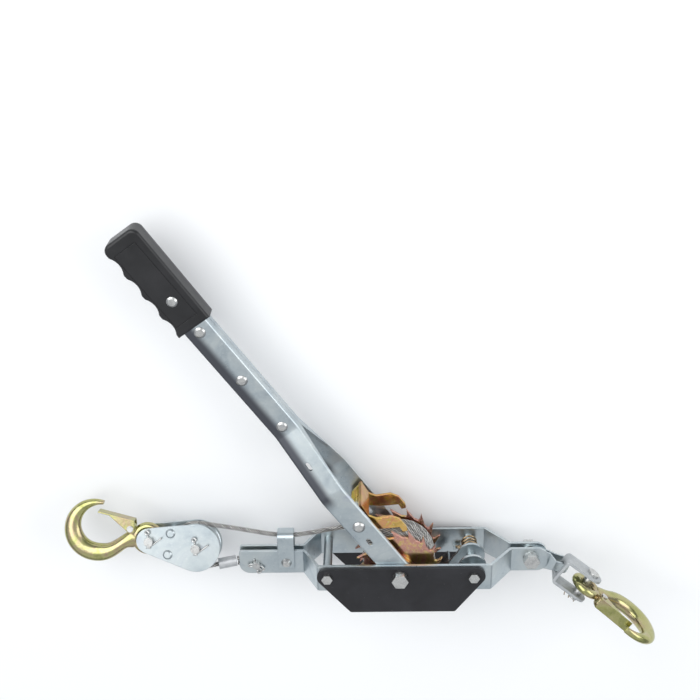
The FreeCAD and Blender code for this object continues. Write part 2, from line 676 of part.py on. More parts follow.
# Handle halves: arms beside the drum that run together into a riveted channel
def handleHalf(label, side):
    body = newBody(label)
    out = "" if side > 0 else "-1 * "
    shift = "handleSheet * tan(atan2(kneeHalf - channelHalf; joinAt - kneeAt) / 2)"
    bar = newSketch(body, "XZ_Plane")
    polygon(bar, [("-armEnd", out + "armHalf"),
                  ("kneeAt", out + "kneeHalf"),
                  ("joinAt", out + "channelHalf"),
                  ("stemEnd", out + "channelHalf"),
                  ("stemEnd", out + "(channelHalf - handleSheet)"),
                  ("joinAt - " + shift, out + "(channelHalf - handleSheet)"),
                  ("kneeAt - " + shift, out + "(kneeHalf - handleSheet)"),
                  ("-armEnd", out + "(armHalf - handleSheet)")])
    pad(body, bar, "armWidth", symmetric=True)
    y = V(0, 1, 0)
    lean = math.atan2(at("kneeHalf") - at("channelHalf"), at("joinAt") - at("kneeAt"))
    moved = at("handleSheet") * math.tan(lean / 2)
    roundEdges(body, "kneeRound", [(at("kneeAt"), 0, side * at("kneeHalf")),
                                   (at("joinAt") - moved, 0, side * (at("channelHalf") - at("handleSheet")))], y)
    roundEdges(body, "kneeRound - handleSheet",
               [(at("kneeAt") - moved, 0, side * (at("kneeHalf") - at("handleSheet"))),
                (at("joinAt"), 0, side * at("channelHalf"))], y)
    for edge in ("armWidth / 2", "-armWidth / 2 + handleSheet"):
        lip = newSketch(body, "XZ_Plane", edge + " - handleSheet")
        polygon(lip, [("joinAt - 50", out + "(channelHalf - handleSheet / 2 + 12)"),
                      ("joinAt - 6", out + "seamGap / 2"),
                      ("stemEnd", out + "seamGap / 2"),
                      ("stemEnd", out + "(channelHalf - handleSheet / 2)"),
                      ("joinAt", out + "(channelHalf - handleSheet / 2)")])
        pad(body, lip, "handleSheet")
    z = V(0, 0, 1)
    zMid = side * (at("armHalf") - at("handleSheet") / 2)
    roundEdges(body, "armWidth / 2 - 0.5", [(-at("armEnd"), at("armWidth") / 2, zMid),
                                            (-at("armEnd"), -at("armWidth") / 2, zMid)], z)
    x = V(1, 0, 0)
    roundEdges(body, "handleSheet - 0.5", [(at("stemEnd"), at("armWidth") / 2, side * at("channelHalf")),
                                           (at("stemEnd"), -at("armWidth") / 2, side * at("channelHalf"))], x)
    holes = newSketch(body, "XY_Plane")
    disc(holes, "0", "0", "axleRound + wheelPlay")
    disc(holes, "drivePin", "0", "drivePinRound + boltPlay")
    disc(holes, "rivetFirst", "0", "rivetRound")
    disc(holes, "rivetFirst + rivetPitch", "0", "rivetRound")
    disc(holes, "rivetFirst + 2 * rivetPitch", "0", "rivetRound")
    disc(holes, "gripRivetAt", "0", "rivetRound")
    pocketThrough(body, holes)
    ends = newSketch(body, "XY_Plane")
    for middle in ("lowSlotAt", "slotHoleAt"):
        disc(ends, middle + " - slotReach", "slotAside", "slotRound")
        disc(ends, middle + " + slotReach", "slotAside", "slotRound")
    pocketThrough(body, ends)
    middles = newSketch(body, "XY_Plane")
    for middle in ("lowSlotAt", "slotHoleAt"):
        polygon(middles, [(middle + " - slotReach", "slotAside - slotRound"),
                          (middle + " + slotReach", "slotAside - slotRound"),
                          (middle + " + slotReach", "slotAside + slotRound"),
                          (middle + " - slotReach", "slotAside + slotRound")])
    pocketThrough(body, middles)
    toWinch(body)
    body.Placement.Rotation = FreeCAD.Rotation(z, at("handleTurn"))
    bind(body, "Placement.Rotation.Angle", "handleTurn * 1 deg")


handleHalf("front_handle_half", 1)
handleHalf("back_handle_half", -1)


def onHandle(item):
    toWinch(item)
    item.Placement.Rotation = FreeCAD.Rotation(V(0, 0, 1), at("handleTurn"))
    bind(item, "Placement.Rotation.Angle", "handleTurn * 1 deg")
    return item


def rivet(name, radius, headRadius, headHigh, halfLong, x="0", y="0"):
    shank = rod(name + "_shank", radius, "2 * (" + halfLong + ")", x=x, y=y, z="-(" + halfLong + ")")
    parts = [shank]
    for end, low, wideEnd, thinEnd in (("front", halfLong, headRadius, "0.65 * " + headRadius),
                                       ("back", "-(" + halfLong + ") - " + headHigh,
                                        "0.65 * " + headRadius, headRadius)):
        cone = doc.addObject("Part::Cone", name + "_" + end)
        bind(cone, "Radius1", wideEnd)
        bind(cone, "Radius2", thinEnd)
        bind(cone, "Height", headHigh)
        bind(cone, "Placement.Base.x", x)
        bind(cone, "Placement.Base.y", y)
        bind(cone, "Placement.Base.z", low)
        parts.append(cone)
    return fuse(name, parts)


# Handle rivets, the drive pawl's pin, the grip and its rivet
setRivets = []
for i, x in enumerate(("rivetFirst", "rivetFirst + rivetPitch", "rivetFirst + 2 * rivetPitch")):
    setRivets.append(rivet("handle_rivet_%d" % (i + 1), "rivetRound", "1.45 * rivetRound",
                           "rivetHead", "channelHalf", x=x))
onHandle(node(together("handle_rivets", setRivets), "handle_rivets"))
onHandle(node(rivet("drive_pin", "drivePinRound", "6.3", "1.8", "kneeHalf", x="drivePin"), "drive_pin"))

grip = newBody("grip")
face = newSketch(grip, "XY_Plane")
polygon(face, [("gripStart", "-gripWide / 2 + 1.5"), ("gripEnd", "-gripWide / 2"),
               ("gripEnd", "gripWide / 2"), ("gripStart", "gripWide / 2")])
pad(grip, face, "2 * gripHalf", symmetric=True)
roundEdges(grip, "8", [(at("gripEnd"), at("gripWide") / 2, 0), (at("gripEnd"), -at("gripWide") / 2, 0)],
           V(0, 0, 1))
scallops = newSketch(grip, "XY_Plane")
for k in range(4):
    disc(scallops, "gripStart + scallopFirst + %d * scallopPitch" % k,
         "gripWide / 2 + scallopRound - scallopDeep", "scallopRound")
pocketThrough(grip, scallops)
across = math.sqrt(at("scallopRound") ** 2 - (at("scallopRound") - at("scallopDeep")) ** 2)
crests = []
for k in range(4):
    middle = at("gripStart") + at("scallopFirst") + k * at("scallopPitch")
    crests += [(middle - across, at("gripWide") / 2, 0), (middle + across, at("gripWide") / 2, 0)]
roundEdges(grip, "crestRound", crests, V(0, 0, 1))
tip = grip.Tip
rim = []
for i, edge in enumerate(tip.Shape.Edges):
    middle = edge.valueAt((edge.FirstParameter + edge.LastParameter) / 2)
    box = edge.BoundBox
    if box.ZLength < 0.01 and abs(abs(middle.z) - at("gripHalf")) < 0.01:
        rim.append("Edge%d" % (i + 1))
soft = grip.newObject("PartDesign::Fillet", "grip_soft")
soft.Base = (tip, rim)
bind(soft, "Radius", "gripSoft")
doc.recompute()
for way in (1, -1):
    frameOf = "gripHalf" if way > 0 else "-gripHalf"
    line = newSketch(grip, "XY_Plane", frameOf)
    for inset in ("0", "0.6"):
        polygon(line, [("gripStart + 10 + " + inset, "-gripWide / 2 + 8 + " + inset),
                       ("gripEnd - 12 - " + inset, "-gripWide / 2 + 8 + " + inset),
                       ("gripEnd - 12 - " + inset, "gripWide / 2 - 5.5 - " + inset),
                       ("gripStart + 10 + " + inset, "gripWide / 2 - 5.5 - " + inset)])
    groove = grip.newObject("PartDesign::Pocket", "grip_line_%d" % (way + 1))
    groove.Profile = line
    groove.Reversed = way < 0
    bind(groove, "Length", "panelDeep")
    doc.recompute()
mouth = newSketch(grip, "YZ_Plane", "gripStart - 1")
polygon(mouth, [("-armWidth / 2 - boltPlay", "-channelHalf - boltPlay"),
                ("armWidth / 2 + boltPlay", "-channelHalf - boltPlay"),
                ("armWidth / 2 + boltPlay", "channelHalf + boltPlay"),
                ("-armWidth / 2 - boltPlay", "channelHalf + boltPlay")])
socket = grip.newObject("PartDesign::Pocket", "grip_socket")
socket.Profile = mouth
socket.Reversed = True
bind(socket, "Length", "stemEnd + boltPlay - gripStart + 1")
doc.recompute()
holes = newSketch(grip, "XY_Plane")
disc(holes, "gripRivetAt", "0", "rivetRound")
pocketThrough(grip, holes)
onHandle(grip)
onHandle(node(rivet("grip_rivet", "rivetRound", "gripRivetRound", "rivetHead", "gripHalf",
                    x="gripRivetAt"), "grip_rivet"))

# Drive pawl: a folded plate with a tooth edge over each wheel, lifted clear of the teeth
pawl = newBody("drive_pawl")
outline = [("6", "20.4"), ("11.4", "5.7"), ("18.2", "1.5"), ("driveReach - 13.6", "1.6"),
           ("driveReach - 5.6", "-3.4"), ("driveReach - 0.4", "-13.4"), ("driveReach", "-17"),
           ("driveReach - 0.6", "-18.4"), ("driveReach - 5", "-18.7"), ("driveReach - 7.4", "-12.6"),
           ("30", "-12.2"), ("20", "-11.2"), ("8", "-8.5"), ("-4", "-8.5"), ("-9", "-2"), ("-6", "10")]
for low in ("driveHalf - drivePlate", "-driveHalf"):
    side = newSketch(pawl, "XY_Plane", low)
    polygon(side, outline)
    pad(pawl, side, "drivePlate")
    bridge = newSketch(pawl, "XY_Plane")
    polygon(bridge, [("11.4", "5.7"), ("6", "20.4"), ("3.2", "19.4"), ("8.6", "4.7")])
    pad(pawl, bridge, "2 * driveHalf", symmetric=True)
holes = newSketch(pawl, "XY_Plane")
disc(holes, "0", "0", "drivePinRound + wheelPlay")
pocketThrough(pawl, holes)
toWinch(pawl, x="drivePin * cos(handleTurn)", y="drivePin * sin(handleTurn)")
pawl.Placement.Rotation = FreeCAD.Rotation(V(0, 0, 1), at("driveLift"))
bind(pawl, "Placement.Rotation.Angle", "driveLift * 1 deg")

# Holding pawl on the right spacer tube: two ears and a tooth edge across both wheels
hold = newBody("holding_pawl")
for low in ("toothPlane - wheelThick / 2", "holdEar - holdPlate"):
    ear = newSketch(hold, "XY_Plane", low)
    disc(ear, "0", "0", "holdRound")
    pad(hold, ear, "holdPlate")
    arm = newSketch(hold, "XY_Plane", low)
    polygon(arm, [("0", "holdRound"), ("0", "-holdRound"), ("holdReach - 14", "-5.5"),
                  ("holdReach", "-2"), ("holdReach", "1.5"), ("holdReach - 14", "5")])
    pad(hold, arm, "holdPlate")
    if low.startswith("tooth"):
        edge = newSketch(hold, "XY_Plane")
        polygon(edge, [("holdReach - 16", "-5"), ("holdReach", "-2"), ("holdReach", "1.5"),
                       ("holdReach - 16", "-1.5")])
        pad(hold, edge, "2 * toothPlane + wheelThick", symmetric=True)
holes = newSketch(hold, "XY_Plane")
disc(holes, "0", "0", "spacerRound + wheelPlay")
pocketThrough(hold, holes)
toWinch(hold, x="rightBoltX")
hold.Placement.Rotation = FreeCAD.Rotation(V(0, 0, 1), at("holdTurn"))
bind(hold, "Placement.Rotation.Angle", "holdTurn * 1 deg")

# Torsion spring round the same tube, one leg on the pawl and one toward the back strap
coil = coilPath(at("springCoil"), at("springPitch"), at("springTurns"), math.radians(270), at("springLeg"))
print("pawl spring: least gap %.2f" % leastSelfGap(coil, at("springWire"), at("springPitch")))
springLow = (at("holdEar") - at("holdPlate") - at("slideClear") - at("springWire")
             - at("springPitch") * at("springTurns"))
shaped("pawl_spring", tubeAlong(coil, at("springWire")),
       FreeCAD.Placement(axleSpot + V(at("rightBoltX"), 0, springLow), FreeCAD.Rotation()))

# Rope clip folded over the rope, its bolt, and the pin that anchors the rope's end
clip = newBody("rope_clip")
fold = newSketch(clip, "YZ_Plane", "-clipX - clipWide / 2")
inZ = "(neckGap / 2 + strapThick + boltPlay)"
outZ = "(neckGap / 2 + strapThick + boltPlay + clipThick)"
polygon(fold, [("-clipLow", outZ), ("clipTop", outZ), ("clipTop", "-1 * " + outZ), ("-clipLow", "-1 * " + outZ),
               ("-clipLow", "-1 * " + inZ), ("clipTop - clipThick", "-1 * " + inZ),
               ("clipTop - clipThick", inZ), ("-clipLow", inZ)])
pad(clip, fold, "clipWide")
inside = at("neckGap") / 2 + at("strapThick") + at("boltPlay")
roundEdges(clip, "clipThick + 4", [(0, at("clipTop"), inside + at("clipThick")),
                                   (0, at("clipTop"), -inside - at("clipThick"))], V(1, 0, 0))
roundEdges(clip, "4", [(0, at("clipTop") - at("clipThick"), inside),
                       (0, at("clipTop") - at("clipThick"), -inside)], V(1, 0, 0))
holes = newSketch(clip, "XY_Plane")
disc(holes, "-clipX", "-clipBoltY", "clipBoltRound + boltPlay")
pocketThrough(clip, holes)
toWinch(clip)
toWinch(node(rivet("clip_bolt", "clipBoltRound", "clipHead", "3", outZ, x="-clipX", y="-clipBoltY"), "clip_bolt"))


crossWay = FreeCAD.Rotation(V(1, 0.3, 0), 90)


def cotter(name, radius, long):
    pin = rod(name + "_legs", radius, long, z="-(" + long + ") / 2")
    eye = doc.addObject("Part::Torus", name + "_eye")
    bind(eye, "Radius1", "2 * " + radius)
    bind(eye, "Radius2", radius)
    eye.Placement = FreeCAD.Placement(V(0, 0, 0), FreeCAD.Rotation(V(1, 0, 0), 90))
    bind(eye, "Placement.Base.z", "(" + long + ") / 2 + 2 * " + radius)
    return fuse(name, [pin, eye])


def pinWithHead(name, radius, front, back, hole, holeRadius):
    shank = rod(name + "_shank", radius, "(" + front + ") + (" + back + ")", z="-(" + back + ")")
    cap = rod(name + "_cap", "1.3 * " + radius, "2.5", z="-(" + back + ") - 2.5")
    crossX, crossY = -3 * crossWay.multVec(V(0, 0, 1)).x, -3 * crossWay.multVec(V(0, 0, 1)).y
    across = rod(name + "_hole", holeRadius + " + wheelPlay", "6 * " + radius, z=hole,
                 x="%.4f * %s" % (crossX, radius), y="%.4f * %s" % (crossY, radius))
    across.Placement.Rotation = crossWay
    return cut(name, fuse(name + "_solid", [shank, cap]), across)


splitAt = "neckGap / 2 + strapThick + 1.6"
toWinch(node(pinWithHead("anchor_pin", "anchorRound", "neckGap / 2 + strapThick + 4.5",
                         "neckGap / 2 + strapThick", splitAt, "cotterRound"), "anchor_pin"),
        x="-anchorX", y="-anchorY")
split = node(cotter("anchor_cotter", "cotterRound", "14"), "anchor_cotter")
split.Placement = FreeCAD.Placement(V(0, 0, 0), crossWay)
toWinch(split, x="-anchorX", y="-anchorY", z=splitAt)


# Block frame: its X runs from the sheave's pin to the hook's pin and its Z faces the front
def frameFrom(origin, xWay, yWay, zWay):
    m = FreeCAD.Matrix(xWay.x, yWay.x, zWay.x, origin.x,
                       xWay.y, yWay.y, zWay.y, origin.y,
                       xWay.z, yWay.z, zWay.z, origin.z,
                       0, 0, 0, 1)
    return FreeCAD.Placement(m)


tilt = math.radians(at("blockTilt"))
rise = math.radians(at("blockRise"))
upSlope = V(0, math.cos(tilt), -math.sin(tilt))
facing = V(0, math.sin(tilt), math.cos(tilt))
pull = V(-1, 0, 0) * math.cos(rise) + upSlope * math.sin(rise)
blockSpot = axleSpot + V(-at("blockX"), at("blockY"), 0)
blockFrame = frameFrom(blockSpot, pull, facing.cross(pull), facing)


def blockPlate(label, side):
    body = newBody(label)
    low = "blockInner" if side > 0 else "-blockInner - blockPlate"
    face = newSketch(body, "XY_Plane", low)
    disc(face, "0", "0", "blockBig")
    pad(body, face, "blockPlate")
    face = newSketch(body, "XY_Plane", low)
    disc(face, "blockPins", "0", "blockSmall")
    pad(body, face, "blockPlate")
    lean = "((blockBig - blockSmall) / blockPins)"
    across = "sqrt(1 - " + lean + " * " + lean + ")"
    face = newSketch(body, "XY_Plane", low)
    polygon(face, [("blockBig * " + lean, "blockBig * " + across),
                   ("blockBig * " + lean, "-blockBig * " + across),
                   ("blockPins + blockSmall * " + lean, "-blockSmall * " + across),
                   ("blockPins + blockSmall * " + lean, "blockSmall * " + across)])
    pad(body, face, "blockPlate")
    holes = newSketch(body, "XY_Plane")
    disc(holes, "0", "0", "sheavePin")
    disc(holes, "blockPins", "0", "hookPin")
    disc(holes, "spacerAt", "spacerSide", "rivetShank")
    disc(holes, "spacerAt", "-spacerSide", "rivetShank")
    pocketThrough(body, holes)
    body.Placement = blockFrame


blockPlate("front_block_plate", 1)
blockPlate("back_block_plate", -1)
plates = "blockInner + blockPlate"
spacers = []
for name, y in (("upper", "-spacerSide"), ("lower", "spacerSide")):
    spacers.append(rivet(name + "_spacer", "rivetShank", "spacerDisc", "rivetHead", plates, x="spacerAt", y=y))
node(together("block_spacers", spacers), "block_spacers").Placement = blockFrame
pins = []
for name, radius, x in (("sheave", "sheavePin", 0), ("hook", "hookPin", at("blockPins"))):
    pin = node(pinWithHead(name + "_pin", radius, plates + " + pinOver", plates, plates + " + 2.2",
                           "cotterRound"), name + "_pin")
    pin.Placement = blockFrame.multiply(FreeCAD.Placement(V(x, 0, 0), FreeCAD.Rotation()))
    split = cotter(name + "_cotter", "cotterRound", "15")
    deep = at("blockInner") + at("blockPlate") + 2.2
    split.Placement = blockFrame.multiply(FreeCAD.Placement(V(x, 0, deep), crossWay))
    pins.append(split)
node(together("block_cotters", pins), "block_cotters")

# Sheave: a grooved wheel on its pin
wheel = rod("sheave_disc", "sheaveRope + 0.6", "2 * sheaveHalf", z="-sheaveHalf")
groove = doc.addObject("Part::Torus", "sheave_groove")
bind(groove, "Radius1", "sheaveRope")
bind(groove, "Radius2", "ropeRound + boltPlay")
flare = doc.addObject("Part::Torus", "sheave_flare")
bind(flare, "Radius1", "sheaveRope + 3.2")
bind(flare, "Radius2", "ropeRound + 3.0")
bore = rod("sheave_bore", "sheavePin + wheelPlay", "4 * sheaveHalf", z="-2 * sheaveHalf")
sheave = node(cut("sheave", wheel, fuse("sheave_cuts", [groove, flare, bore])), "sheave")
sheave.Placement = blockFrame


# Hook: a ring eye, a lofted bowl that thins to its point, and a lug for the latch
def oval(centre, outward, wide, thick):
    ring = Part.Circle(V(0, 0, 0), V(0, 0, 1), 1).toShape()
    across = V(0, 0, 1)
    along = outward.cross(across)
    m = FreeCAD.Matrix(outward.x * wide, across.x * thick, along.x, centre.x,
                       outward.y * wide, across.y * thick, along.y, centre.y,
                       outward.z * wide, across.z * thick, along.z, centre.z,
                       0, 0, 0, 1)
    return Part.Wire([ring.transformGeometry(m).Edges[0]])


def hookShape(pinRadius):
    eyeAt = at("eyeHole") - pinRadius - at("boltPlay")
    wall = (at("eyeOuter") - at("eyeHole")) / 2
    ring = Part.makeTorus(at("eyeHole") + wall, wall, V(eyeAt, 0, 0), V(0, 0, 1))
    outer = at("bowlOuter")
    inner = at("bowlInner")
    thick = at("bowlThick") / 2
    sections = [oval(V(eyeAt + at("eyeOuter") - wall - 1, -2, 0), V(-0.30, -0.954, 0), 6.5, 0.7 * thick),
                oval(V(eyeAt + at("eyeOuter") + 5, -6.5, 0), V(-0.55, -0.835, 0), 7.5, 0.9 * thick)]
    start = 222
    turn = 235
    steps = 11
    for i in range(steps + 1):
        k = i / steps
        angle = math.radians(start + turn * k)
        near = max(0, 0.25 - k) / 0.25
        late = max(0, k - 0.4) / 0.6
        far = outer - 4.5 * late ** 1.5
        close = inner + 4.5 * near ** 2 + 11 * late ** 1.5
        spot = V(at("bowlAt") + (far + close) / 2 * math.cos(angle), 2.5 + (far + close) / 2 * math.sin(angle), 0)
        outward = V(math.cos(angle), math.sin(angle), 0)
        sections.append(oval(spot, outward, (far - close) / 2,
                             thick - (thick - at("tipThick") / 2) * late))
    bowl = Part.makeLoft(sections, True, False)
    lug = Part.makeCylinder(5.5, 8, V(at("latchAt"), at("latchSide"), -4))
    shape = ring.fuse([bowl, lug])
    hole = Part.makeCylinder(at("latchRivet") + at("wheelPlay"), 20, V(at("latchAt"), at("latchSide"), -10))
    return shape.cut(hole)


def latchShape():
    half = at("latchWide") / 2
    sheetThick = at("latchSheet")
    rivet = V(at("latchAt"), at("latchSide"), 0)
    heel = rivet + V(-at("latchBack"), at("latchHeel"), 0)
    tip = rivet + V(at("latchReach"), at("latchTip"), 0)
    under = V(0, -sheetThick, 0)
    leaf = Part.Face(Part.makePolygon([heel + under, tip + under, tip, heel, heel + under]))
    leaf = leaf.extrude(V(0, 0, 2 * half))
    leaf.translate(V(0, 0, -half))
    back = -at("cheekBack")
    reach = at("cheekReach")
    inside = at("latchHeel") - 0.1
    ends = [(back, -2.5), (0, -4.7), (5, -2), (reach, inside + 1.3), (reach, inside + 2.8),
            (-at("latchBack"), inside), (back, 3.5), (back, -2.5)]
    cheek = Part.Face(Part.makePolygon([rivet + V(x, y, 0) for x, y in ends]))
    front = cheek.extrude(V(0, 0, sheetThick))
    front.translate(V(0, 0, half - sheetThick))
    back = cheek.extrude(V(0, 0, sheetThick))
    back.translate(V(0, 0, -half))
    shape = leaf.fuse([front, back]).removeSplitter()
    bore = at("latchRivet") + at("wheelPlay")
    hole = Part.makeCylinder(bore, 3 * half, rivet + V(0, 0, -1.5 * half))
    return shape.cut(hole)


def latchRivetShape():
    half = at("latchWide") / 2 + at("wheelPlay")
    spot = V(at("latchAt"), at("latchSide"), 0)
    high = at("latchHeadHigh")
    shank = Part.makeCylinder(at("latchRivet"), 2 * half, spot + V(0, 0, -half))
    front = Part.makeCylinder(at("latchHead"), high, spot + V(0, 0, half))
    back = Part.makeCylinder(at("latchHead"), high, spot + V(0, 0, -half - high))
    return shank.fuse([front, back])


loadPin = blockSpot + pull * at("blockPins")
tipWay = pull.cross(facing)
loadFrame = frameFrom(loadPin, pull, tipWay, pull.cross(tipWay))
shaped("load_hook", hookShape(at("hookPin")), loadFrame)
shaped("load_latch", latchShape(), loadFrame)
shaped("load_latch_rivet", latchRivetShape(), loadFrame)

# Link strap from the neck bolt, round the rim of the bracket's web
link = newBody("link_strap")
legOut = "(neckGap / 2 - 2 * boltPlay)"
legIn = "(neckGap / 2 - 2 * boltPlay - linkSheet)"
loopOut = "(linkBore + linkSheet)"
face = newSketch(link, "XZ_Plane")
far = "linkLoop + linkBore"
polygon(face, [("-9.5", legOut), ("18.5", legOut), ("26", loopOut), (far + " + linkSheet", loopOut),
               (far + " + linkSheet", "-1 * " + loopOut), ("26", "-1 * " + loopOut), ("18.5", "-1 * " + legOut),
               ("-9.5", "-1 * " + legOut), ("-9.5", "-1 * " + legIn), ("19", "-1 * " + legIn),
               ("26.5", "-linkBore"), (far, "-linkBore"), (far, "linkBore"), ("26.5", "linkBore"),
               ("19", legIn), ("-9.5", legIn)])
pad(link, face, "20", symmetric=True)
tips = at("linkLoop") + at("linkBore")
roundEdges(link, loopOut + " - 0.1", [(tips + at("linkSheet"), 0, at("linkBore") + at("linkSheet")),
                                      (tips + at("linkSheet"), 0, -at("linkBore") - at("linkSheet"))], V(0, 1, 0))
roundEdges(link, "linkBore - 0.1", [(tips, 0, at("linkBore")), (tips, 0, -at("linkBore"))], V(0, 1, 0))
waist = newSketch(link, "XY_Plane")
polygon(waist, [("18", "11"), ("18", "10"), ("27", "linkTall / 2"), ("60", "linkTall / 2"), ("60", "11")])
polygon(waist, [("18", "-11"), ("18", "-10"), ("27", "-linkTall / 2"), ("60", "-linkTall / 2"), ("60", "-11")])
pocketThrough(link, waist)
zMid = at("neckGap") / 2 - at("boltPlay") - at("linkSheet") / 2
roundEdges(link, "9", [(-9.5, 10, zMid), (-9.5, -10, zMid)], V(0, 0, 1))
holes = newSketch(link, "XY_Plane")
disc(holes, "0", "0", "neckBoltRound + wheelPlay")
pocketThrough(link, holes)
toWinch(link, x="neckBoltX")
link.Placement.Rotation = FreeCAD.Rotation(V(0, 0, 1), at("linkTurn"))
bind(link, "Placement.Rotation.Angle", "linkTurn * 1 deg")

# Anchor bracket on the loop, its pin, and the second hook
legWay = V(0.799, -0.565, 0.206).normalize()
pinWay = V(0.586, 0.809, -0.056)
pinWay = (pinWay - legWay * pinWay.dot(legWay)).normalize()
outWay = legWay.cross(pinWay)
rimAt = at("bracketHole") + (at("bracketWide") / 2 - at("bracketHole")) / 2
linkWay = V(math.cos(math.radians(at("linkTurn"))), math.sin(math.radians(at("linkTurn"))), 0)
loopSpot = axleSpot + V(at("neckBoltX"), 0, 0) + linkWay * (at("linkLoop") - at("rimBack"))
webSpot = loopSpot + outWay * rimAt
bracketFrame = frameFrom(webSpot, legWay, pinWay, outWay)
print("web centre", webSpot - axleSpot, "leg", legWay, "pin", pinWay)

bracket = newBody("anchor_bracket")
half = "bracketThick / 2"
legs = "bracketReach + bracketWide / 2"
face = newSketch(bracket, "XY_Plane", "-bracketWide / 2")
polygon(face, [("-" + half, "-bracketHalf - bracketThick"), (legs, "-bracketHalf - bracketThick"),
               (legs, "-bracketHalf"), (half, "-bracketHalf"), (half, "bracketHalf"), (legs, "bracketHalf"),
               (legs, "bracketHalf + bracketThick"), ("-" + half, "bracketHalf + bracketThick")])
pad(bracket, face, "bracketWide")
reach = at("bracketReach") + at("bracketWide") / 2
top = at("bracketHalf") + at("bracketThick")
roundEdges(bracket, "bracketThick + 1.2", [(-at("bracketThick") / 2, top, 0), (-at("bracketThick") / 2, -top, 0)],
           V(0, 0, 1))
roundEdges(bracket, "1.2", [(at("bracketThick") / 2, at("bracketHalf"), 0),
                            (at("bracketThick") / 2, -at("bracketHalf"), 0)], V(0, 0, 1))
corners = []
for yMid in (top - at("bracketThick") / 2, -top + at("bracketThick") / 2):
    corners += [(reach, yMid, at("bracketWide") / 2), (reach, yMid, -at("bracketWide") / 2)]
roundEdges(bracket, "bracketWide / 2 - 0.3", corners, V(0, 1, 0))
holes = newSketch(bracket, "YZ_Plane")
disc(holes, "0", "0", "bracketHole")
pocketThrough(bracket, holes)
holes = newSketch(bracket, "XZ_Plane")
disc(holes, "bracketReach", "0", "bracketPin")
pocketThrough(bracket, holes)
bracket.Placement = bracketFrame
sideways = FreeCAD.Placement(V(at("bracketReach"), 0, 0), FreeCAD.Rotation(V(1, 0, 0), 90))
legFace = "bracketHalf + bracketThick"
pin = node(pinWithHead("bracket_pin", "bracketPin", legFace + " + 4.5", legFace, legFace + " + 2.4",
                       "cotterRound"), "bracket_pin")
pin.Placement = bracketFrame.multiply(sideways)
split = node(cotter("bracket_cotter", "cotterRound", "17"), "bracket_cotter")
out = FreeCAD.Placement(V(0, 0, at("bracketHalf") + at("bracketThick") + 2.4), crossWay)
split.Placement = bracketFrame.multiply(sideways).multiply(out)

hookWay = V(0.789, -0.553, 0.268)
hookWay = (hookWay - pinWay * hookWay.dot(pinWay)).normalize()
hookTip = hookWay.cross(pinWay)
if hookTip.z < 0:
    hookTip = hookTip * -1
anchorPinSpot = webSpot + legWay * at("bracketReach")
anchorFrame = frameFrom(anchorPinSpot, hookWay, hookTip, hookWay.cross(hookTip))
shaped("anchor_hook", hookShape(at("bracketPin")), anchorFrame)
shaped("anchor_latch", latchShape(), anchorFrame)
shaped("anchor_latch_rivet", latchRivetShape(), anchorFrame)


# Rope: an eye on the anchor pin, a pressed ferrule, the fall to the sheave, its wrap and the fall to the drum
def routed(points):
    edges = []
    last = points[0]
    for i in range(1, len(points) - 1):
        before = points[i] - points[i - 1]
        after = points[i + 1] - points[i]
        turn = before.getAngle(after)
        short = 0.45 * min(before.Length, after.Length)
        start = points[i] - V(before).normalize() * short
        end = points[i] + V(after).normalize() * short
        print("rope bend of radius %.0f" % (short / math.tan(turn / 2)))
        edges.append(Part.LineSegment(last, start).toShape())
        edges.append(arcFrom(start, V(before).normalize(), end))
        last = end
    edges.append(Part.LineSegment(last, points[-1]).toShape())
    return edges


anchorSpot = axleSpot + V(-at("anchorX"), -at("anchorY"), 0)
eyeRadius = at("anchorRound") + at("ropeRound") + at("boltPlay")
spread = at("ropeRound") + 0.05
eyeLong = at("ropeEye")
lean = math.atan2(spread, eyeLong)
reachTo = math.hypot(eyeLong, spread)
dip = math.acos(eyeRadius / reachTo)
upper = anchorSpot + V(-eyeLong, spread, 0)
lower = anchorSpot + V(-eyeLong, -spread, 0)
turn = math.pi - lean - dip
touchUp = anchorSpot + V(math.cos(turn), math.sin(turn), 0) * eyeRadius
touchLow = anchorSpot + V(math.cos(turn), -math.sin(turn), 0) * eyeRadius
eyePath = [Part.LineSegment(upper, touchUp).toShape(),
           Part.Arc(touchUp, anchorSpot + V(eyeRadius, 0, 0), touchLow).toShape(),
           Part.LineSegment(touchLow, lower).toShape()]
shaped("rope_eye", tubeAlong(eyePath, at("ropeRound")))



def tangentSpot(target, upper):
    flat = target - blockSpot
    flat = flat - facing * flat.dot(facing)
    across = V(flat).normalize()
    turn = math.acos(at("sheaveRope") / flat.Length)
    around = facing.cross(across)
    if (around.dot(upSlope) > 0) != upper:
        around = around * -1
    return blockSpot + (across * math.cos(turn) + around * math.sin(turn)) * at("sheaveRope")


ferruleStart = anchorSpot + V(-eyeLong - at("ferruleLead"), 0, 0)
lowTouch = tangentSpot(ferruleStart, False)
fallWay = (lowTouch - ferruleStart).normalize()
shaped("rope_ferrule", Part.makeCylinder(at("ferruleRound"), at("ferruleLong"), ferruleStart, fallWay))
fallStart = ferruleStart + fallWay * at("ferruleLong")
lowEnd = lowTouch - fallWay * 3 * at("slideClear")
shaped("rope_lower_fall", tubeAlong([Part.LineSegment(fallStart, lowEnd).toShape()], at("ropeRound")))
clipHalf = at("clipWide") / 2 + at("clipLead")
clipIn = axleSpot + V(-at("clipX") - clipHalf, at("clipRopeIn"), -at("clipRopeLow"))
clipOut = axleSpot + V(-at("clipX") + clipHalf, at("clipRopeOut"), -at("clipRopeLow"))
topTouch = tangentSpot(clipIn, True)
wrap = Part.Arc(lowTouch, blockSpot + pull * at("sheaveRope"), topTouch).toShape()
shaped("rope_on_sheave", tubeAlong([wrap], at("ropeRound")))
leaving = facing.cross(topTouch - blockSpot).normalize()
if leaving.dot(clipIn - topTouch) < 0:
    leaving = leaving * -1
lead = winding[0]
woundWay = lead.tangentAt(lead.FirstParameter)
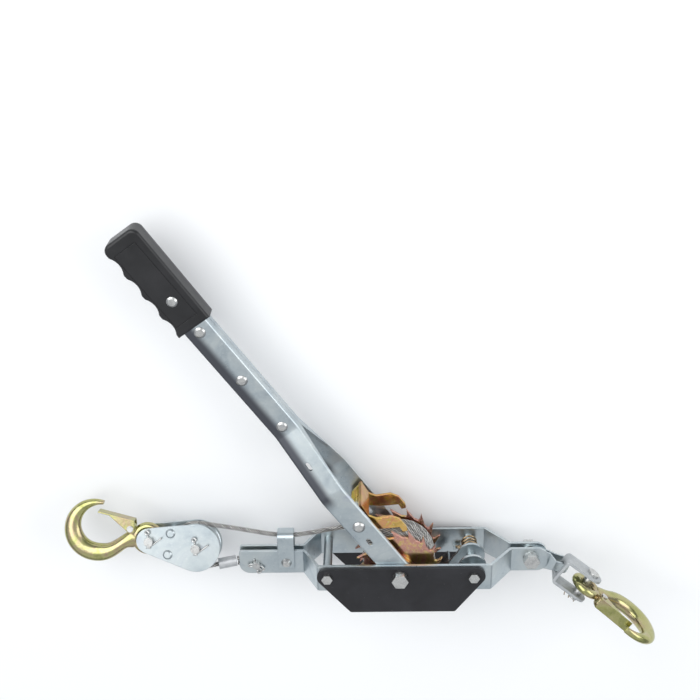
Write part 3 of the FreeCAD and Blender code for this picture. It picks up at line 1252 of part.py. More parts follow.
woundEnd = woundSpot + lead.valueAt(lead.FirstParameter)
fall = routed([topTouch + leaving * at("slideClear"), topTouch + leaving * at("sheaveLead"),
               clipIn, clipOut,
               woundEnd - woundWay * at("drumLead"), woundEnd - woundWay * at("slideClear")])
shaped("rope_upper_fall", tubeAlong(fall, at("ropeRound")))


# Every piece is tested before any file is written
doc.recompute()
for item in doc.Objects:
    if "Invalid" in item.State or "Error" in item.State:
        raise RuntimeError(item.Label + " failed")
for item in nodes:
    if item.Shape.isNull() or not item.Shape.isValid():
        raise RuntimeError(item.Label + " has no valid shape")
whole = FreeCAD.BoundBox()
for item in nodes:
    whole.add(item.Shape.BoundBox)
    print("%s %.0f mm3, %d solids" % (item.Label, item.Shape.Volume, len(item.Shape.Solids)))
print("whole %.2f %.2f %.2f to %.2f %.2f %.2f" % (whole.XMin, whole.YMin, whole.ZMin,
                                                  whole.XMax, whole.YMax, whole.ZMax))
os.makedirs("parts", exist_ok=True)
for item in nodes:
    item.Shape.exportStep("parts/" + item.Label + ".step")
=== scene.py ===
import bpy
import bmesh
import math
from mathutils import Matrix, Vector


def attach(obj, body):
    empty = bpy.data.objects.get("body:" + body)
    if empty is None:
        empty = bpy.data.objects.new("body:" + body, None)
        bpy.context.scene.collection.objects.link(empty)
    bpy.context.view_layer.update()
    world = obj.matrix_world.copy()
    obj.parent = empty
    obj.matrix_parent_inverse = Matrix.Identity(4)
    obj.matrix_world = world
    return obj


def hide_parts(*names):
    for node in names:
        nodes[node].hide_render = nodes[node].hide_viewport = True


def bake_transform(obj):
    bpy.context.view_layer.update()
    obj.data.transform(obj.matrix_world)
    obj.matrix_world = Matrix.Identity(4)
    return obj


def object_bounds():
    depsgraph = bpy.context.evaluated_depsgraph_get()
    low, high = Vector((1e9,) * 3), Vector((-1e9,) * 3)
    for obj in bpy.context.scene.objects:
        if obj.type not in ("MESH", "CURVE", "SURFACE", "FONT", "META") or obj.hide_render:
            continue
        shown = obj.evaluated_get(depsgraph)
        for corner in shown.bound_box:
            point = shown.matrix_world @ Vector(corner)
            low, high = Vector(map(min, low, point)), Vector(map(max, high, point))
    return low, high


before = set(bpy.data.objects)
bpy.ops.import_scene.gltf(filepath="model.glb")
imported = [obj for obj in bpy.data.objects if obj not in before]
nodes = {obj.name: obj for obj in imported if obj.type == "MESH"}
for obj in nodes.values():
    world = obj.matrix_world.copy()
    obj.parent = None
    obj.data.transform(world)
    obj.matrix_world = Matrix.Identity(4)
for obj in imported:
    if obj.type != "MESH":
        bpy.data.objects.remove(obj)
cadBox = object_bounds()
print("frame loaded:", len(nodes), "nodes")


# The winch lies on its side on the floor. The camera looks down on it from the side
# of the handle, and the picture's up is towards the grip.
camera = {
    "place": (0.012834, 0.557210, 0.991828),
    "right": (0.999770, -0.019197, -0.009599),
    "up": (0.013047, 0.898709, -0.438351),
    "lens": 56.571,
    "sensor": 36,
    "nearest": 0.01,
}


def addCamera():
    data = bpy.data.cameras.new("photoCamera")
    data.lens = camera["lens"]
    data.sensor_width = camera["sensor"]
    data.clip_start = camera["nearest"]
    eye = bpy.data.objects.new("photoCamera", data)
    right = Vector(camera["right"]).normalized()
    up = Vector(camera["up"]).normalized()
    turn = Matrix((right, up, right.cross(up))).transposed().to_4x4()
    eye.matrix_world = Matrix.Translation(Vector(camera["place"])) @ turn
    bpy.context.scene.collection.objects.link(eye)
    bpy.context.scene.camera = eye


addCamera()
print("camera in place")


# Lines, rings and meshes that the rope and the split pins share
curveParts = 14


def smoothLine(name, points):
    data = bpy.data.curves.new(name, "CURVE")
    data.dimensions = "3D"
    data.resolution_u = curveParts
    spline = data.splines.new("NURBS")
    spline.points.add(len(points) - 1)
    for spot, target in zip(points, spline.points):
        target.co = (spot[0], spot[1], spot[2], 1)
    spline.order_u = 3
    spline.use_endpoint_u = True
    holder = bpy.data.objects.new(name, data)
    bpy.context.scene.collection.objects.link(holder)
    bpy.context.view_layer.update()
    flat = bpy.data.meshes.new_from_object(holder)
    line = [v.co.copy() for v in flat.vertices]
    bpy.data.objects.remove(holder)
    bpy.data.meshes.remove(flat)
    return line


# Spots at equal steps along a line, and the step
def evenSteps(line, step):
    lengths = [0.0]
    for a, b in zip(line, line[1:]):
        lengths.append(lengths[-1] + (b - a).length)
    count = max(8, int(lengths[-1] / step))
    spots = []
    k = 0
    for i in range(count + 1):
        want = lengths[-1] * i / count
        while k < len(line) - 2 and lengths[k + 1] < want:
            k += 1
        part = (want - lengths[k]) / max(1e-9, lengths[k + 1] - lengths[k])
        spots.append(line[k].lerp(line[k + 1], part))
    return spots, lengths[-1] / count


# A side and a rise at each spot, carried along without a twist
def carriedFrames(spots):
    ways = []
    for i in range(len(spots)):
        ahead = spots[min(i + 1, len(spots) - 1)]
        behind = spots[max(i - 1, 0)]
        ways.append((ahead - behind).normalized())
    side = ways[0].orthogonal().normalized()
    frames = []
    for way in ways:
        side = (side - way * side.dot(way)).normalized()
        frames.append((side, way.cross(side)))
    return frames


def ringAt(mesh, middle, side, rise, size, sides, turned=0.0):
    ring = []
    for k in range(sides):
        around = 2 * math.pi * k / sides + turned
        ring.append(mesh.verts.new(middle + (side * math.cos(around) + rise * math.sin(around)) * size))
    return ring


# Smooth faces from ring to ring, and a flat face over each end
def joinRings(mesh, rings):
    faces = []
    sides = len(rings[0])
    for i, (low, high) in enumerate(zip(rings, rings[1:])):
        for k in range(sides):
            after = (k + 1) % sides
            face = mesh.faces.new((low[k], low[after], high[after], high[k]))
            face.smooth = True
            faces.append((face, i, k))
    mesh.faces.new(list(reversed(rings[0])))
    mesh.faces.new(rings[-1])
    return faces


def placedMesh(name, mesh, material):
    data = bpy.data.meshes.new(name)
    mesh.to_mesh(data)
    mesh.free()
    data.materials.append(material)
    piece = bpy.data.objects.new(name, data)
    bpy.context.scene.collection.objects.link(piece)
    return piece


# Rope: how its strands are laid, in metres. The map counts along in millimetres.
rope = {
    "radius": 0.00248,
    "strands": 6,
    "strandRadius": 0.00082,
    "coreShare": 0.75,
    "layLength": 0.0175,
    "sides": 9,
    "step": 0.0011,
    "mapScale": 1000,
}


# One mesh for a length of rope: six strands laid round a core. The map's second value is a whole
# number where a strand faces outward, so that the finish can paint shade into the grooves.
def strandedRope(name, points, material):
    spots, step = evenSteps(smoothLine(name + "_line", points), rope["step"])
    frames = carriedFrames(spots)
    mesh = bmesh.new()
    wires = mesh.loops.layers.uv.new("wires")
    reach = rope["radius"] - rope["strandRadius"]
    sides = rope["sides"]
    for number, strand in enumerate(list(range(rope["strands"])) + ["core"]):
        rings = []
        outward = 0.5 if strand == "core" else strand / rope["strands"]
        for i, (spot, (side, rise)) in enumerate(zip(spots, frames)):
            lay = 2 * math.pi * i * step / rope["layLength"]
            if strand == "core":
                middle, size = spot, reach * rope["coreShare"]
            else:
                angle = lay + 2 * math.pi * strand / rope["strands"]
                middle = spot + (side * math.cos(angle) + rise * math.sin(angle)) * reach
                size = rope["strandRadius"]
            rings.append(ringAt(mesh, middle, side, rise, size, sides, lay))
        for face, i, k in joinRings(mesh, rings):
            corners = ((i, k), (i, k + 1), (i + 1, k + 1), (i + 1, k))
            for loop, (along, across) in zip(face.loops, corners):
                loop[wires].uv = (along * step * rope["mapScale"], across / sides - outward + number)
    return placedMesh(name, mesh, material)


# The layer on the drum, from where the upper fall reaches it. The smooth line runs inside its
# points, so they stand a little outside the layer's radius.
drum = {
    "middle": (0.04156, -0.14401),
    "start": 0.0355,
    "radius": 0.0355,
    "pitch": 0.00579,
    "turns": 4.75,
    "leaves": 100.0,
    "pointsEachTurn": 20,
    "wobble": 0.00012,
    "waves": (0.83, 0.37),
}


def drumTurns():
    points = []
    count = int(drum["turns"] * drum["pointsEachTurn"])
    wide = drum["radius"] / (0.5 + 0.5 * math.cos(math.pi / drum["pointsEachTurn"]))
    quick, slow = drum["waves"]
    for i in range(count + 1):
        turn = math.radians(drum["leaves"]) - 2 * math.pi * i / drum["pointsEachTurn"]
        wave = math.sin(i * quick) + math.sin(i * slow + 1)
        far = wide + drum["wobble"] * wave
        high = drum["start"] + drum["pitch"] * i / drum["pointsEachTurn"]
        points.append((drum["middle"][0] + far * math.cos(turn),
                       drum["middle"][1] + far * math.sin(turn), high))
    return points


# The turn on the block's sheave, between the two spots where the falls leave it
sheave = {
    "middle": (-0.16924, -0.12801, 0.048),
    "pull": (-0.98686, 0.15186, -0.05527),
    "facing": (0.0, 0.34202, 0.93969),
    "lowTouch": (-0.16577, -0.15033, 0.05612),
    "topTouch": (-0.16560, -0.10572, 0.03989),
    "parts": 16,
}


def sheaveTurn():
    middle = Vector(sheave["middle"])
    facing = Vector(sheave["facing"])
    start = Vector(sheave["lowTouch"]) - middle
    finish = Vector(sheave["topTouch"]) - middle
    pull = Vector(sheave["pull"])
    parts = sheave["parts"]
    points = []
    total = start.angle(pull) + pull.angle(finish)
    way = 1 if facing.cross(start).dot(pull) > 0 else -1
    wide = 1 / math.cos(total / parts / 2) ** 0.5
    for i in range(parts + 1):
        turned = Matrix.Rotation(way * total * i / parts, 3, facing) @ start
        points.append(middle + turned * wide)
    return points


# The eye round the anchor pin, and the two falls, each from its fixed end or its touch on the sheave
eyeLevel = 0.048
eyeLoop = [(-0.12784, -0.14506, eyeLevel), (-0.11850, -0.1424, eyeLevel), (-0.10919, -0.14095, eyeLevel),
           (-0.10330, -0.1413, eyeLevel), (-0.10080, -0.14761, eyeLevel), (-0.10330, -0.15392, eyeLevel),
           (-0.10919, -0.15427, eyeLevel), (-0.11850, -0.15282, eyeLevel),
           (-0.12784, -0.15016, eyeLevel)]
lowerFall = [(-0.14784, -0.14899, 0.05212), (-0.156, -0.149598, 0.053943), (-0.16489, -0.15026, 0.05593)]
upperFall = [(-0.16531, -0.10576, 0.03990), (-0.14800, -0.10826, 0.04081),
             (-0.13200, -0.11056, 0.04165), (-0.11000, -0.11311, 0.04464),
             (-0.08754, -0.11561, 0.04770), (-0.06454, -0.11661, 0.04770),
             (-0.02660, -0.11308, 0.04160), (0.01134, -0.10954, 0.03550),
             (0.02300, -0.10913, 0.03550), (0.03502, -0.10872, 0.03550)]


# Node helpers
def startMaterial(name):
    material = bpy.data.materials.new(name)
    material.use_nodes = True
    tree = material.node_tree
    surface = tree.nodes["Principled BSDF"]
    return material, tree, surface


def plug(tree, source, target):
    tree.links.new(source, target)


def objectPlace(tree):
    return tree.nodes.new("ShaderNodeTexCoord").outputs["Object"]


def sums(tree, operation, first, second=None):
    node = tree.nodes.new("ShaderNodeMath")
    node.operation = operation
    plug(tree, first, node.inputs[0])
    if isinstance(second, float):
        node.inputs[1].default_value = second
    elif second is not None:
        plug(tree, second, node.inputs[1])
    return node.outputs["Value"]


def noise(tree, where, scale, detail=3.0, rough=0.55, warp=0.0):
    node = tree.nodes.new("ShaderNodeTexNoise")
    node.inputs["Scale"].default_value = scale
    node.inputs["Detail"].default_value = detail
    node.inputs["Roughness"].default_value = rough
    node.inputs["Distortion"].default_value = warp
    plug(tree, where, node.inputs["Vector"])
    return node.outputs["Fac"]


def ramp(tree, factor, stops):
    node = tree.nodes.new("ShaderNodeValToRGB")
    node.color_ramp.elements[0].position = stops[0][0]
    node.color_ramp.elements[0].color = (*stops[0][1], 1)
    node.color_ramp.elements[1].position = stops[-1][0]
    node.color_ramp.elements[1].color = (*stops[-1][1], 1)
    for place, tone in stops[1:-1]:
        node.color_ramp.elements.new(place).color = (*tone, 1)
    plug(tree, factor, node.inputs["Fac"])
    return node.outputs["Color"]


def spread(tree, factor, low, high, fromLow=0.3, fromHigh=0.7):
    node = tree.nodes.new("ShaderNodeMapRange")
    node.inputs["From Min"].default_value = fromLow
    node.inputs["From Max"].default_value = fromHigh
    node.inputs["To Min"].default_value = low
    node.inputs["To Max"].default_value = high
    plug(tree, factor, node.inputs["Value"])
    return node.outputs["Result"]


def blended(tree, factor, first, second):
    node = tree.nodes.new("ShaderNodeMix")
    node.data_type = "RGBA"
    for source, target in ((factor, node.inputs[0]), (first, node.inputs[6]), (second, node.inputs[7])):
        if isinstance(source, (int, float)):
            target.default_value = source
        elif isinstance(source, tuple):
            target.default_value = (*source, 1)
        else:
            plug(tree, source, target)
    return node.outputs[2]


def bump(tree, height, strength, deep, surface, rounding=0.0):
    node = tree.nodes.new("ShaderNodeBump")
    node.inputs["Strength"].default_value = strength
    node.inputs["Distance"].default_value = deep
    plug(tree, height, node.inputs["Height"])
    if rounding:
        soft = tree.nodes.new("ShaderNodeBevel")
        soft.samples = 4
        soft.inputs["Radius"].default_value = rounding
        plug(tree, soft.outputs["Normal"], node.inputs["Normal"])
    plug(tree, node.outputs["Normal"], surface.inputs["Normal"])


def alongWay(tree, where, way, start, stop):
    node = tree.nodes.new("ShaderNodeVectorMath")
    node.operation = "DOT_PRODUCT"
    plug(tree, where, node.inputs[0])
    node.inputs[1].default_value = way
    part = tree.nodes.new("ShaderNodeMapRange")
    part.interpolation_type = "SMOOTHSTEP"
    part.inputs["From Min"].default_value = start
    part.inputs["From Max"].default_value = stop
    plug(tree, node.outputs["Value"], part.inputs["Value"])
    return part.outputs["Result"]


# Painted dark reflection on a plate: one side of a line, beyond a place along it
def paintedReflectionMask(tree, where, paintedReflection):
    side = alongWay(tree, where, paintedReflection["across"], paintedReflection["acrossFrom"], paintedReflection["acrossTo"])
    ahead = alongWay(tree, where, paintedReflection["along"], paintedReflection["alongFrom"], paintedReflection["alongTo"])
    return sums(tree, "MULTIPLY", side, ahead)


# Plated or bare metal: drifting tone, fine grain, small pale spots and rounded edges. A look
# gives what differs from these values.
plainMetal = {
    "warp": 0.6, "spotScale": 420, "spotTone": 0.25, "spotColor": (0.85, 0.87, 0.88),
    "spotFrom": 0.62, "spotTo": 0.72, "metallic": 1.0, "bump": 0.12, "bumpDeep": 0.0004,
    "rounding": 0.0006,
}


def metalFinish(name, changes):
    look = dict(plainMetal, **changes)
    material, tree, surface = startMaterial(name)
    where = objectPlace(tree)
    drift = noise(tree, where, look["driftScale"], 4, 0.6, look["warp"])
    tone = ramp(tree, drift, look["tones"])
    grain = noise(tree, where, look["grainScale"], 3, 0.6)
    tone = blended(tree, spread(tree, grain, 0.0, look["grainTone"]), tone, look["grainColor"])
    spots = noise(tree, where, look["spotScale"], 2, 0.5)
    mark = spread(tree, spots, 0.0, look["spotTone"], look["spotFrom"], look["spotTo"])
    tone = blended(tree, mark, tone, look["spotColor"])
    if "paintedReflection" in look:
        # Painted dark reflection, for a look that carries one
        tone = blended(tree, paintedReflectionMask(tree, where, look["paintedReflection"]), tone, look["paintedReflection"]["tone"])
    plug(tree, tone, surface.inputs["Base Color"])
    surface.inputs["Metallic"].default_value = look["metallic"]
    uneven = blended(tree, 0.5, drift, grain)
    plug(tree, spread(tree, uneven, look["roughLow"], look["roughHigh"]), surface.inputs["Roughness"])
    bump(tree, grain, look["bump"], look["bumpDeep"], surface, look["rounding"])
    return material


zincPlate = {
    "tones": [(0.30, (0.36, 0.42, 0.46)), (0.46, (0.47, 0.53, 0.56)), (0.60, (0.56, 0.61, 0.62)),
              (0.74, (0.44, 0.48, 0.55))],
    "driftScale": 22, "warp": 1.0,
    "grainScale": 260, "grainTone": 0.30, "grainColor": (0.62, 0.67, 0.68),
    "spotScale": 380, "spotTone": 0.30, "spotColor": (0.74, 0.77, 0.77),
    "roughLow": 0.24, "roughHigh": 0.44,
    "bump": 0.10, "bumpDeep": 0.0003, "rounding": 0.0007,
}
# The handle's plate, with a painted dark reflection along its lower left side beyond the bend
handleWay = (-0.57643, 0.81714, 0.0)
handleSide = (-0.81714, -0.57643, 0.0)
axleAlong = drum["middle"][0] * handleWay[0] + drum["middle"][1] * handleWay[1]
axleAcross = drum["middle"][0] * handleSide[0] + drum["middle"][1] * handleSide[1]
armPlateWithPaintedReflection = dict(zincPlate, paintedReflection={
    "across": handleSide, "acrossFrom": axleAcross - 0.0015, "acrossTo": axleAcross + 0.0070,
    "along": handleWay, "alongFrom": axleAlong + 0.100, "alongTo": axleAlong + 0.116,
    "tone": (0.105, 0.11, 0.125),
})
brightZinc = {
    "tones": [(0.30, (0.44, 0.44, 0.44)), (0.55, (0.66, 0.66, 0.64)), (0.75, (0.52, 0.54, 0.56))],
    "driftScale": 150,
    "grainScale": 520, "grainTone": 0.4, "grainColor": (0.40, 0.40, 0.40),
    "spotTone": 0.15,
    "roughLow": 0.20, "roughHigh": 0.40,
    "bump": 0.14, "bumpDeep": 0.0003, "rounding": 0.0005,
}
wheelChromate = {
    "tones": [(0.28, (0.34, 0.31, 0.09)), (0.38, (0.68, 0.50, 0.18)), (0.46, (0.64, 0.34, 0.24)),
              (0.54, (0.56, 0.27, 0.24)), (0.62, (0.70, 0.50, 0.22)), (0.70, (0.50, 0.27, 0.23)),
              (0.80, (0.34, 0.36, 0.14))],
    "driftScale": 30, "warp": 1.8,
    "grainScale": 300, "grainTone": 0.22, "grainColor": (0.74, 0.50, 0.38),
    "spotTone": 0.40, "spotColor": (0.80, 0.72, 0.64),
    "roughLow": 0.16, "roughHigh": 0.32,
    "bumpDeep": 0.0003, "rounding": 0.0011,
}
pawlChromate = {
    "tones": [(0.28, (0.44, 0.30, 0.06)), (0.42, (0.72, 0.47, 0.14)), (0.54, (0.66, 0.30, 0.17)),
              (0.64, (0.62, 0.46, 0.10)), (0.78, (0.30, 0.32, 0.06))],
    "driftScale": 40, "warp": 1.5,
    "grainScale": 320, "grainTone": 0.2, "grainColor": (0.78, 0.52, 0.24),
    "roughLow": 0.13, "roughHigh": 0.26,
    "bump": 0.08, "rounding": 0.0010,
}
hookChromate = {
    "tones": [(0.26, (0.22, 0.24, 0.07)), (0.42, (0.38, 0.38, 0.14)), (0.50, (0.46, 0.44, 0.20)),
              (0.58, (0.44, 0.34, 0.22)), (0.66, (0.42, 0.42, 0.16)), (0.80, (0.22, 0.27, 0.09))],
    "driftScale": 30, "warp": 0.8,
    "grainScale": 420, "grainTone": 0.25, "grainColor": (0.56, 0.52, 0.32),
    "spotColor": (0.60, 0.46, 0.38),
    "roughLow": 0.14, "roughHigh": 0.28,
    "bump": 0.20, "rounding": 0.0009,
}
castGrey = {
    "tones": [(0.30, (0.34, 0.36, 0.37)), (0.55, (0.46, 0.48, 0.49)), (0.75, (0.39, 0.41, 0.42))],
    "driftScale": 50,
    "grainScale": 700, "grainTone": 0.4, "grainColor": (0.54, 0.56, 0.57),
    "spotTone": 0.3, "metallic": 0.6,
    "roughLow": 0.40, "roughHigh": 0.58,
    "bump": 0.22, "rounding": 0.0009,
}
softAluminium = {
    "tones": [(0.30, (0.40, 0.41, 0.42)), (0.55, (0.55, 0.56, 0.57)), (0.75, (0.47, 0.48, 0.49))],
    "driftScale": 90,
    "grainScale": 420, "grainTone": 0.5, "grainColor": (0.66, 0.67, 0.68),
    "metallic": 0.85,
    "roughLow": 0.36, "roughHigh": 0.55,
    "bump": 0.4, "bumpDeep": 0.0005, "rounding": 0.0010,
}
bronzeWire = {
    "tones": [(0.30, (0.22, 0.15, 0.09)), (0.55, (0.42, 0.31, 0.19)), (0.75, (0.30, 0.21, 0.12))],
    "driftScale": 160,
    "grainScale": 600, "grainTone": 0.3, "grainColor": (0.56, 0.46, 0.32),
    "roughLow": 0.18, "roughHigh": 0.32,
    "bump": 0.1, "rounding": 0.0002,
}


# Dark paint or plastic: a faint cloudy tone, sparse pale specks and a fine orange peel
satinBlack = {
    "tone": (0.012, 0.012, 0.014), "worn": (0.024, 0.024, 0.028), "speck": (0.09, 0.09, 0.10),
    "shine": 0.35, "roughLow": 0.30, "roughHigh": 0.44,
    "specks": 150, "peelScale": 500, "peel": 0.10,
}
gripPlastic = {
    "tone": (0.006, 0.006, 0.007), "worn": (0.014, 0.014, 0.016), "speck": (0.03, 0.03, 0.03),
    "shine": 0.5, "roughLow": 0.28, "roughHigh": 0.42,
    "specks": 260, "peelScale": 900, "peel": 0.14,
}
darkShared = {"cloudScale": 30, "speckFull": 0.02, "speckNone": 0.07, "speckTone": 0.75,
              "peelDeep": 0.0004, "rounding": 0.0007}


def darkFinish(name, changes):
    look = dict(darkShared, **changes)
    material, tree, surface = startMaterial(name)
    where = objectPlace(tree)
    cloud = noise(tree, where, look["cloudScale"], 4, 0.6, 0.4)
    tone = blended(tree, spread(tree, cloud, 0.0, 1.0), look["tone"], look["worn"])
    dots = tree.nodes.new("ShaderNodeTexVoronoi")
    dots.inputs["Scale"].default_value = look["specks"]
    plug(tree, where, dots.inputs["Vector"])
    mark = spread(tree, dots.outputs["Distance"], look["speckTone"], 0.0,
                  look["speckFull"], look["speckNone"])
    tone = blended(tree, mark, tone, look["speck"])
    plug(tree, tone, surface.inputs["Base Color"])
    fine = noise(tree, where, look["peelScale"], 3, 0.6)
    plug(tree, spread(tree, cloud, look["roughLow"], look["roughHigh"]), surface.inputs["Roughness"])
    surface.inputs["Specular IOR Level"].default_value = look["shine"]
    bump(tree, fine, look["peel"], look["peelDeep"], surface, look["rounding"])
    return material


# Galvanised strand: bright wires that turn round each strand, painted shade between the wires and in
# the grooves between the strands, and some strands duller than others, all from the map along each
# strand
wireSteel = {
    "light": (0.95, 0.94, 0.92), "paintedWireGapShade": (0.16, 0.155, 0.15), "worn": (0.62, 0.59, 0.55),
    "groove": (0.015, 0.015, 0.015), "dull": (0.34, 0.33, 0.31),
    "wireStretch": (0.34, 6.0, 1), "wireScale": 0.55, "wireWarp": 0.6,
    "darkest": 0.45, "darkFrom": 0.10, "darkTo": 0.45,
    "driftScale": 90, "wornMost": 0.35, "dullMost": 0.75, "dullFrom": 0.2, "dullTo": 0.8,
    "grooveFrom": 0.30, "grooveTo": 0.80,
    "metallic": 0.85, "roughLow": 0.28, "roughHigh": 0.44, "bump": 0.5, "bumpDeep": 0.0004,
}


def strandFinish(name, look):
    material, tree, surface = startMaterial(name)
    wires = tree.nodes.new("ShaderNodeUVMap")
    wires.uv_map = "wires"
    drawn = tree.nodes.new("ShaderNodeMapping")
    drawn.inputs["Scale"].default_value = look["wireStretch"]
    plug(tree, wires.outputs["UV"], drawn.inputs["Vector"])
    turned = tree.nodes.new("ShaderNodeTexWave")
    turned.bands_direction = "DIAGONAL"
    turned.inputs["Scale"].default_value = look["wireScale"]
    turned.inputs["Distortion"].default_value = look["wireWarp"]
    plug(tree, drawn.outputs["Vector"], turned.inputs["Vector"])
    parts = tree.nodes.new("ShaderNodeSeparateXYZ")
    plug(tree, wires.outputs["UV"], parts.inputs["Vector"])
    outward = sums(tree, "COSINE", sums(tree, "MULTIPLY", parts.outputs["Y"], 2 * math.pi))
    drift = noise(tree, objectPlace(tree), look["driftScale"], 3, 0.6)
    # Painted shade in the gaps between the wires, from the same waves as the bump
    wireGapShadeMix = spread(tree, turned.outputs["Fac"], look["darkest"], 1.0, look["darkFrom"], look["darkTo"])
    tone = blended(tree, wireGapShadeMix, look["paintedWireGapShade"], look["light"])
    tone = blended(tree, spread(tree, drift, 0.0, look["wornMost"]), tone, look["worn"])
    dull = tree.nodes.new("ShaderNodeTexWhiteNoise")
    dull.noise_dimensions = "1D"
    plug(tree, sums(tree, "ROUND", parts.outputs["Y"]), dull.inputs["W"])
    dulled = spread(tree, dull.outputs["Value"], 0.0, look["dullMost"], look["dullFrom"], look["dullTo"])
    tone = blended(tree, dulled, tone, look["dull"])
    # Painted shade in the grooves between the strands, where a strand faces inward
    outsideGrooveShade = spread(tree, outward, 0.0, 1.0, look["grooveFrom"], look["grooveTo"])
    tone = blended(tree, outsideGrooveShade, look["groove"], tone)
    plug(tree, tone, surface.inputs["Base Color"])
    surface.inputs["Metallic"].default_value = look["metallic"]
    plug(tree, spread(tree, drift, look["roughLow"], look["roughHigh"]), surface.inputs["Roughness"])
    bump(tree, turned.outputs["Fac"], look["bump"], look["bumpDeep"], surface)
    return material


finishes = {
    "zinc": metalFinish("bluishZincPlate", zincPlate),
    "arm": metalFinish("handleZincPlateWithPaintedReflection", armPlateWithPaintedReflection),
    "bolt": metalFinish("brightZincBolts", brightZinc),
    "wheel": metalFinish("iridescentWheelChromate", wheelChromate),
    "pawl": metalFinish("goldPawlChromate", pawlChromate),
    "hook": metalFinish("oliveHookChromate", hookChromate),
    "cast": metalFinish("greyBracket", castGrey),
    "ferrule": metalFinish("softAluminium", softAluminium),
    "spring": metalFinish("bronzeSpringWire", bronzeWire),
    "black": darkFinish("satinBlackPaint", satinBlack),
    "grip": darkFinish("blackGripPlastic", gripPlastic),
    "rope": strandFinish("galvanisedStrand", wireSteel),
}

wears = {
    "zinc": ["front_strap", "back_strap", "left_spacer_tube", "right_spacer_tube", "rope_clip",
             "holding_pawl", "front_block_plate", "back_block_plate", "sheave", "link_strap",
             "block_spacers"],
    "arm": ["front_handle_half", "back_handle_half"],
    "bolt": ["axle_bolt", "axle_nut", "axle_washers", "end_bolts", "end_nuts", "neck_bolt", "neck_nut",
             "neck_washers", "clip_bolt", "anchor_pin", "anchor_cotter", "handle_rivets", "drive_pin",
             "grip_rivet", "sheave_pin", "hook_pin", "block_cotters", "load_latch_rivet", "bracket_pin",
             "bracket_cotter", "anchor_latch_rivet"],
    "wheel": ["front_ratchet_wheel", "back_ratchet_wheel", "drum_core"],
    "pawl": ["drive_pawl"],
    "hook": ["load_hook", "load_latch", "anchor_hook", "anchor_latch"],
    "cast": ["anchor_bracket"],
    "ferrule": ["rope_ferrule"],
    "spring": ["pawl_spring"],
    "black": ["front_side_plate", "back_side_plate"],
    "grip": ["grip"],
    "rope": ["wound_rope", "rope_eye", "rope_lower_fall", "rope_upper_fall", "rope_on_sheave"],
}
for finish, names in wears.items():
    for name in names:
        data = nodes[name].data
        data.materials.clear()
        data.materials.append(finishes[finish])
print("finishes on", sum(len(names) for names in wears.values()), "nodes")


# Rope pieces in place of the plain tubes. The two falls stay where they are built; the other pieces
# are attached to their bodies.
ropePieces = [
    ("woundStrand", drumTurns(), "drum", "wound_rope"),
    ("sheaveStrand", sheaveTurn(), "block", "rope_on_sheave"),
    ("eyeStrand", eyeLoop, "frame", "rope_eye"),
    ("lowerStrand", lowerFall, "frame", "rope_lower_fall"),
    ("upperStrand", upperFall, "frame", "rope_upper_fall"),
]
for name, points, body, node in ropePieces:
    piece = strandedRope(name, points, finishes["rope"])
    if name == "lowerStrand":
        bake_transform(piece)
    elif name == "upperStrand":
        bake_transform(piece)
    else:
        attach(piece, body)
    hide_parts(node)
print("rope laid in", len(ropePieces), "pieces")


# Bent ends of the split pins, in metres: the wings at the rope's anchor pin, one long leg on each pin
# of the block, and the clipped ends under the anchor bracket
legWire = {"radius": 0.00085, "clippedShare": 0.6, "sides": 10, "stepShare": 1.2}
wingLevel = 0.0566
leftWing = [(-0.1086, -0.1472, wingLevel), (-0.1125, -0.1459, wingLevel), (-0.1166, -0.1480, wingLevel),
            (-0.1150, -0.1498, wingLevel), (-0.1118, -0.1490, wingLevel), (-0.1086, -0.1481, wingLevel)]
rightWing = [(-0.1071, -0.1477, wingLevel), (-0.1030, -0.1488, wingLevel), (-0.0992, -0.1528, wingLevel),
             (-0.1004, -0.1548, wingLevel), (-0.1037, -0.1535, wingLevel), (-0.1076, -0.1488, wingLevel)]
blockPull = Vector(sheave["pull"])
blockFacing = Vector(sheave["facing"])
blockRise = blockPull.cross(blockFacing)
sheavePin = Vector(sheave["middle"])
pinsApart = 0.049
hookPin = sheavePin + blockPull * pinsApart
legLift = 0.0134
longLeg = [(-0.0012, -0.0068), (0.0006, -0.0062), (0.0040, -0.0030), (0.0085, 0.0016), (0.0128, 0.0058)]
bracket = {
    "pin": (0.23444, -0.171399, 0.063278),
    "across": (0.586028, 0.808361, -0.055888),
    "ahead": (0.798975, -0.564982, 0.205994),
    "face": 0.0145,
    "bend": (0.0045, 0.0006),
    "end": (0.0085, 0.0035),
    "droop": (0, 0, -0.0010),
    "ends": {"first": -0.0110, "second": -0.0055, "third": 0.0012},
}


def bentWire(name, points, radius, material):
    spots = evenSteps(smoothLine(name + "_line", points), radius * legWire["stepShare"])[0]
    mesh = bmesh.new()
    rings = [ringAt(mesh, spot, side, rise, radius, legWire["sides"])
             for spot, (side, rise) in zip(spots, carriedFrames(spots))]
    joinRings(mesh, rings)
    return placedMesh(name, mesh, material)


def legOnPin(pin):
    base = pin + blockFacing * legLift
    return [base - blockPull * right + blockRise * rise for right, rise in longLeg]


def clippedEnd(back):
    across = Vector(bracket["across"])
    ahead = Vector(bracket["ahead"])
    start = Vector(bracket["pin"]) - across * bracket["face"] + ahead * back
    middle = start - across * bracket["bend"][0] + ahead * bracket["bend"][1]
    finish = start - across * bracket["end"][0] + ahead * bracket["end"][1] + Vector(bracket["droop"])
    return [start, middle, finish]


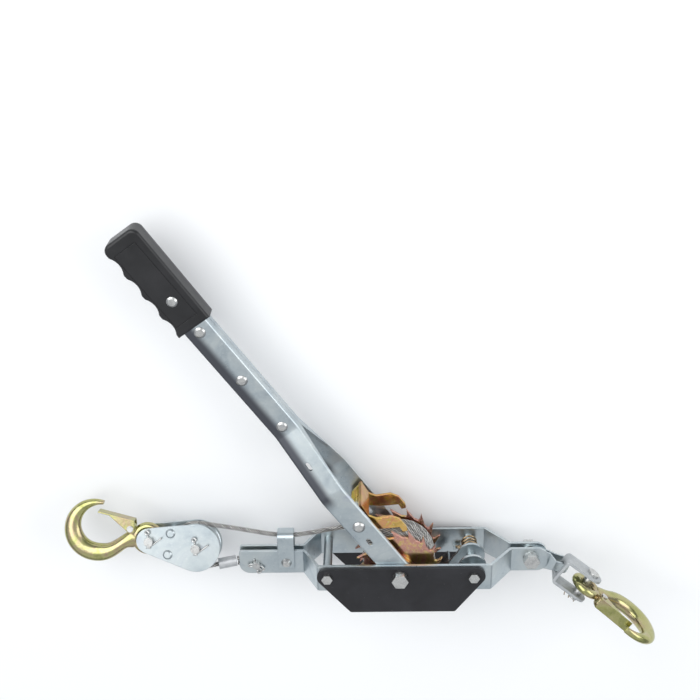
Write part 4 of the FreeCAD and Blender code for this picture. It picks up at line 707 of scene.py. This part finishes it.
legPieces = [
    ("anchorLeftWing", leftWing, "frame", 1.0, "bolt"),
    ("anchorRightWing", rightWing, "frame", 1.0, "bolt"),
    ("hookPinLongLeg", legOnPin(hookPin), "block", 1.0, "bolt"),
    ("sheavePinLongLeg", legOnPin(sheavePin), "block", 1.0, "bolt"),
]
for name, back in bracket["ends"].items():
    legPieces.append((name + "ClippedEnd", clippedEnd(back), "bracket",
                      legWire["clippedShare"], "spring"))
for name, points, body, share, finish in legPieces:
    piece = bentWire(name, points, legWire["radius"] * share, finishes[finish])
    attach(piece, body)
print("split pins bent over:", len(legPieces), "ends")


# Studio: a pale floor, a room that is light at the horizon, dim low down and bright overhead, and
# two large soft boxes
studio = {
    "floorTone": (0.93, 0.935, 0.94),
    "floorDim": 0.985,
    "floorRough": 0.9,
    "cloudScale": 2.0,
    "floorHalf": 6.0,
    "floorGap": 0.0002,
    "room": [(0.0, (0.62, 0.64, 0.67)), (0.12, (0.34, 0.36, 0.39)), (0.30, (0.28, 0.30, 0.33)),
             (0.48, (0.54, 0.57, 0.60)), (0.70, (0.80, 0.82, 0.84)), (0.90, (0.68, 0.70, 0.72))],
    "roomPower": 1.0,
    "key": {"place": (-1.1, 1.2, 1.9), "size": 2.4, "power": 40},
    "side": {"place": (1.9, 0.6, 1.3), "size": 1.6, "power": 16},
    "aim": (0, 0, 0.04),
}


def floorFinish():
    material, tree, surface = startMaterial("paleFloor")
    cloud = noise(tree, objectPlace(tree), studio["cloudScale"], 2)
    low = tuple(c * studio["floorDim"] for c in studio["floorTone"])
    plug(tree, blended(tree, cloud, low, studio["floorTone"]), surface.inputs["Base Color"])
    surface.inputs["Roughness"].default_value = studio["floorRough"]
    return material


def addFloor():
    mesh = bmesh.new()
    bmesh.ops.create_grid(mesh, x_segments=2, y_segments=2, size=studio["floorHalf"])
    floor = placedMesh("floor", mesh, floorFinish())
    floor.location.z = cadBox[0][2] - studio["floorGap"]


def addSoftBox(name):
    box = studio[name]
    lamp = bpy.data.lights.new(name + "SoftBox", "AREA")
    lamp.size = box["size"]
    lamp.energy = box["power"]
    holder = bpy.data.objects.new(name + "SoftBox", lamp)
    holder.location = box["place"]
    aim = Vector(studio["aim"]) - Vector(box["place"])
    holder.rotation_euler = aim.to_track_quat("-Z", "Y").to_euler()
    bpy.context.scene.collection.objects.link(holder)


def addRoom():
    world = bpy.data.worlds.new("studioRoom")
    world.use_nodes = True
    room = world.node_tree
    where = room.nodes.new("ShaderNodeTexCoord").outputs["Generated"]
    parts = room.nodes.new("ShaderNodeSeparateXYZ")
    plug(room, where, parts.inputs["Vector"])
    shade = ramp(room, parts.outputs["Z"], studio["room"])
    plug(room, shade, room.nodes["Background"].inputs["Color"])
    room.nodes["Background"].inputs["Strength"].default_value = studio["roomPower"]
    bpy.context.scene.world = world
    bpy.context.scene.view_settings.view_transform = "Standard"


addFloor()
addSoftBox("key")
addSoftBox("side")
addRoom()
print("studio lit")
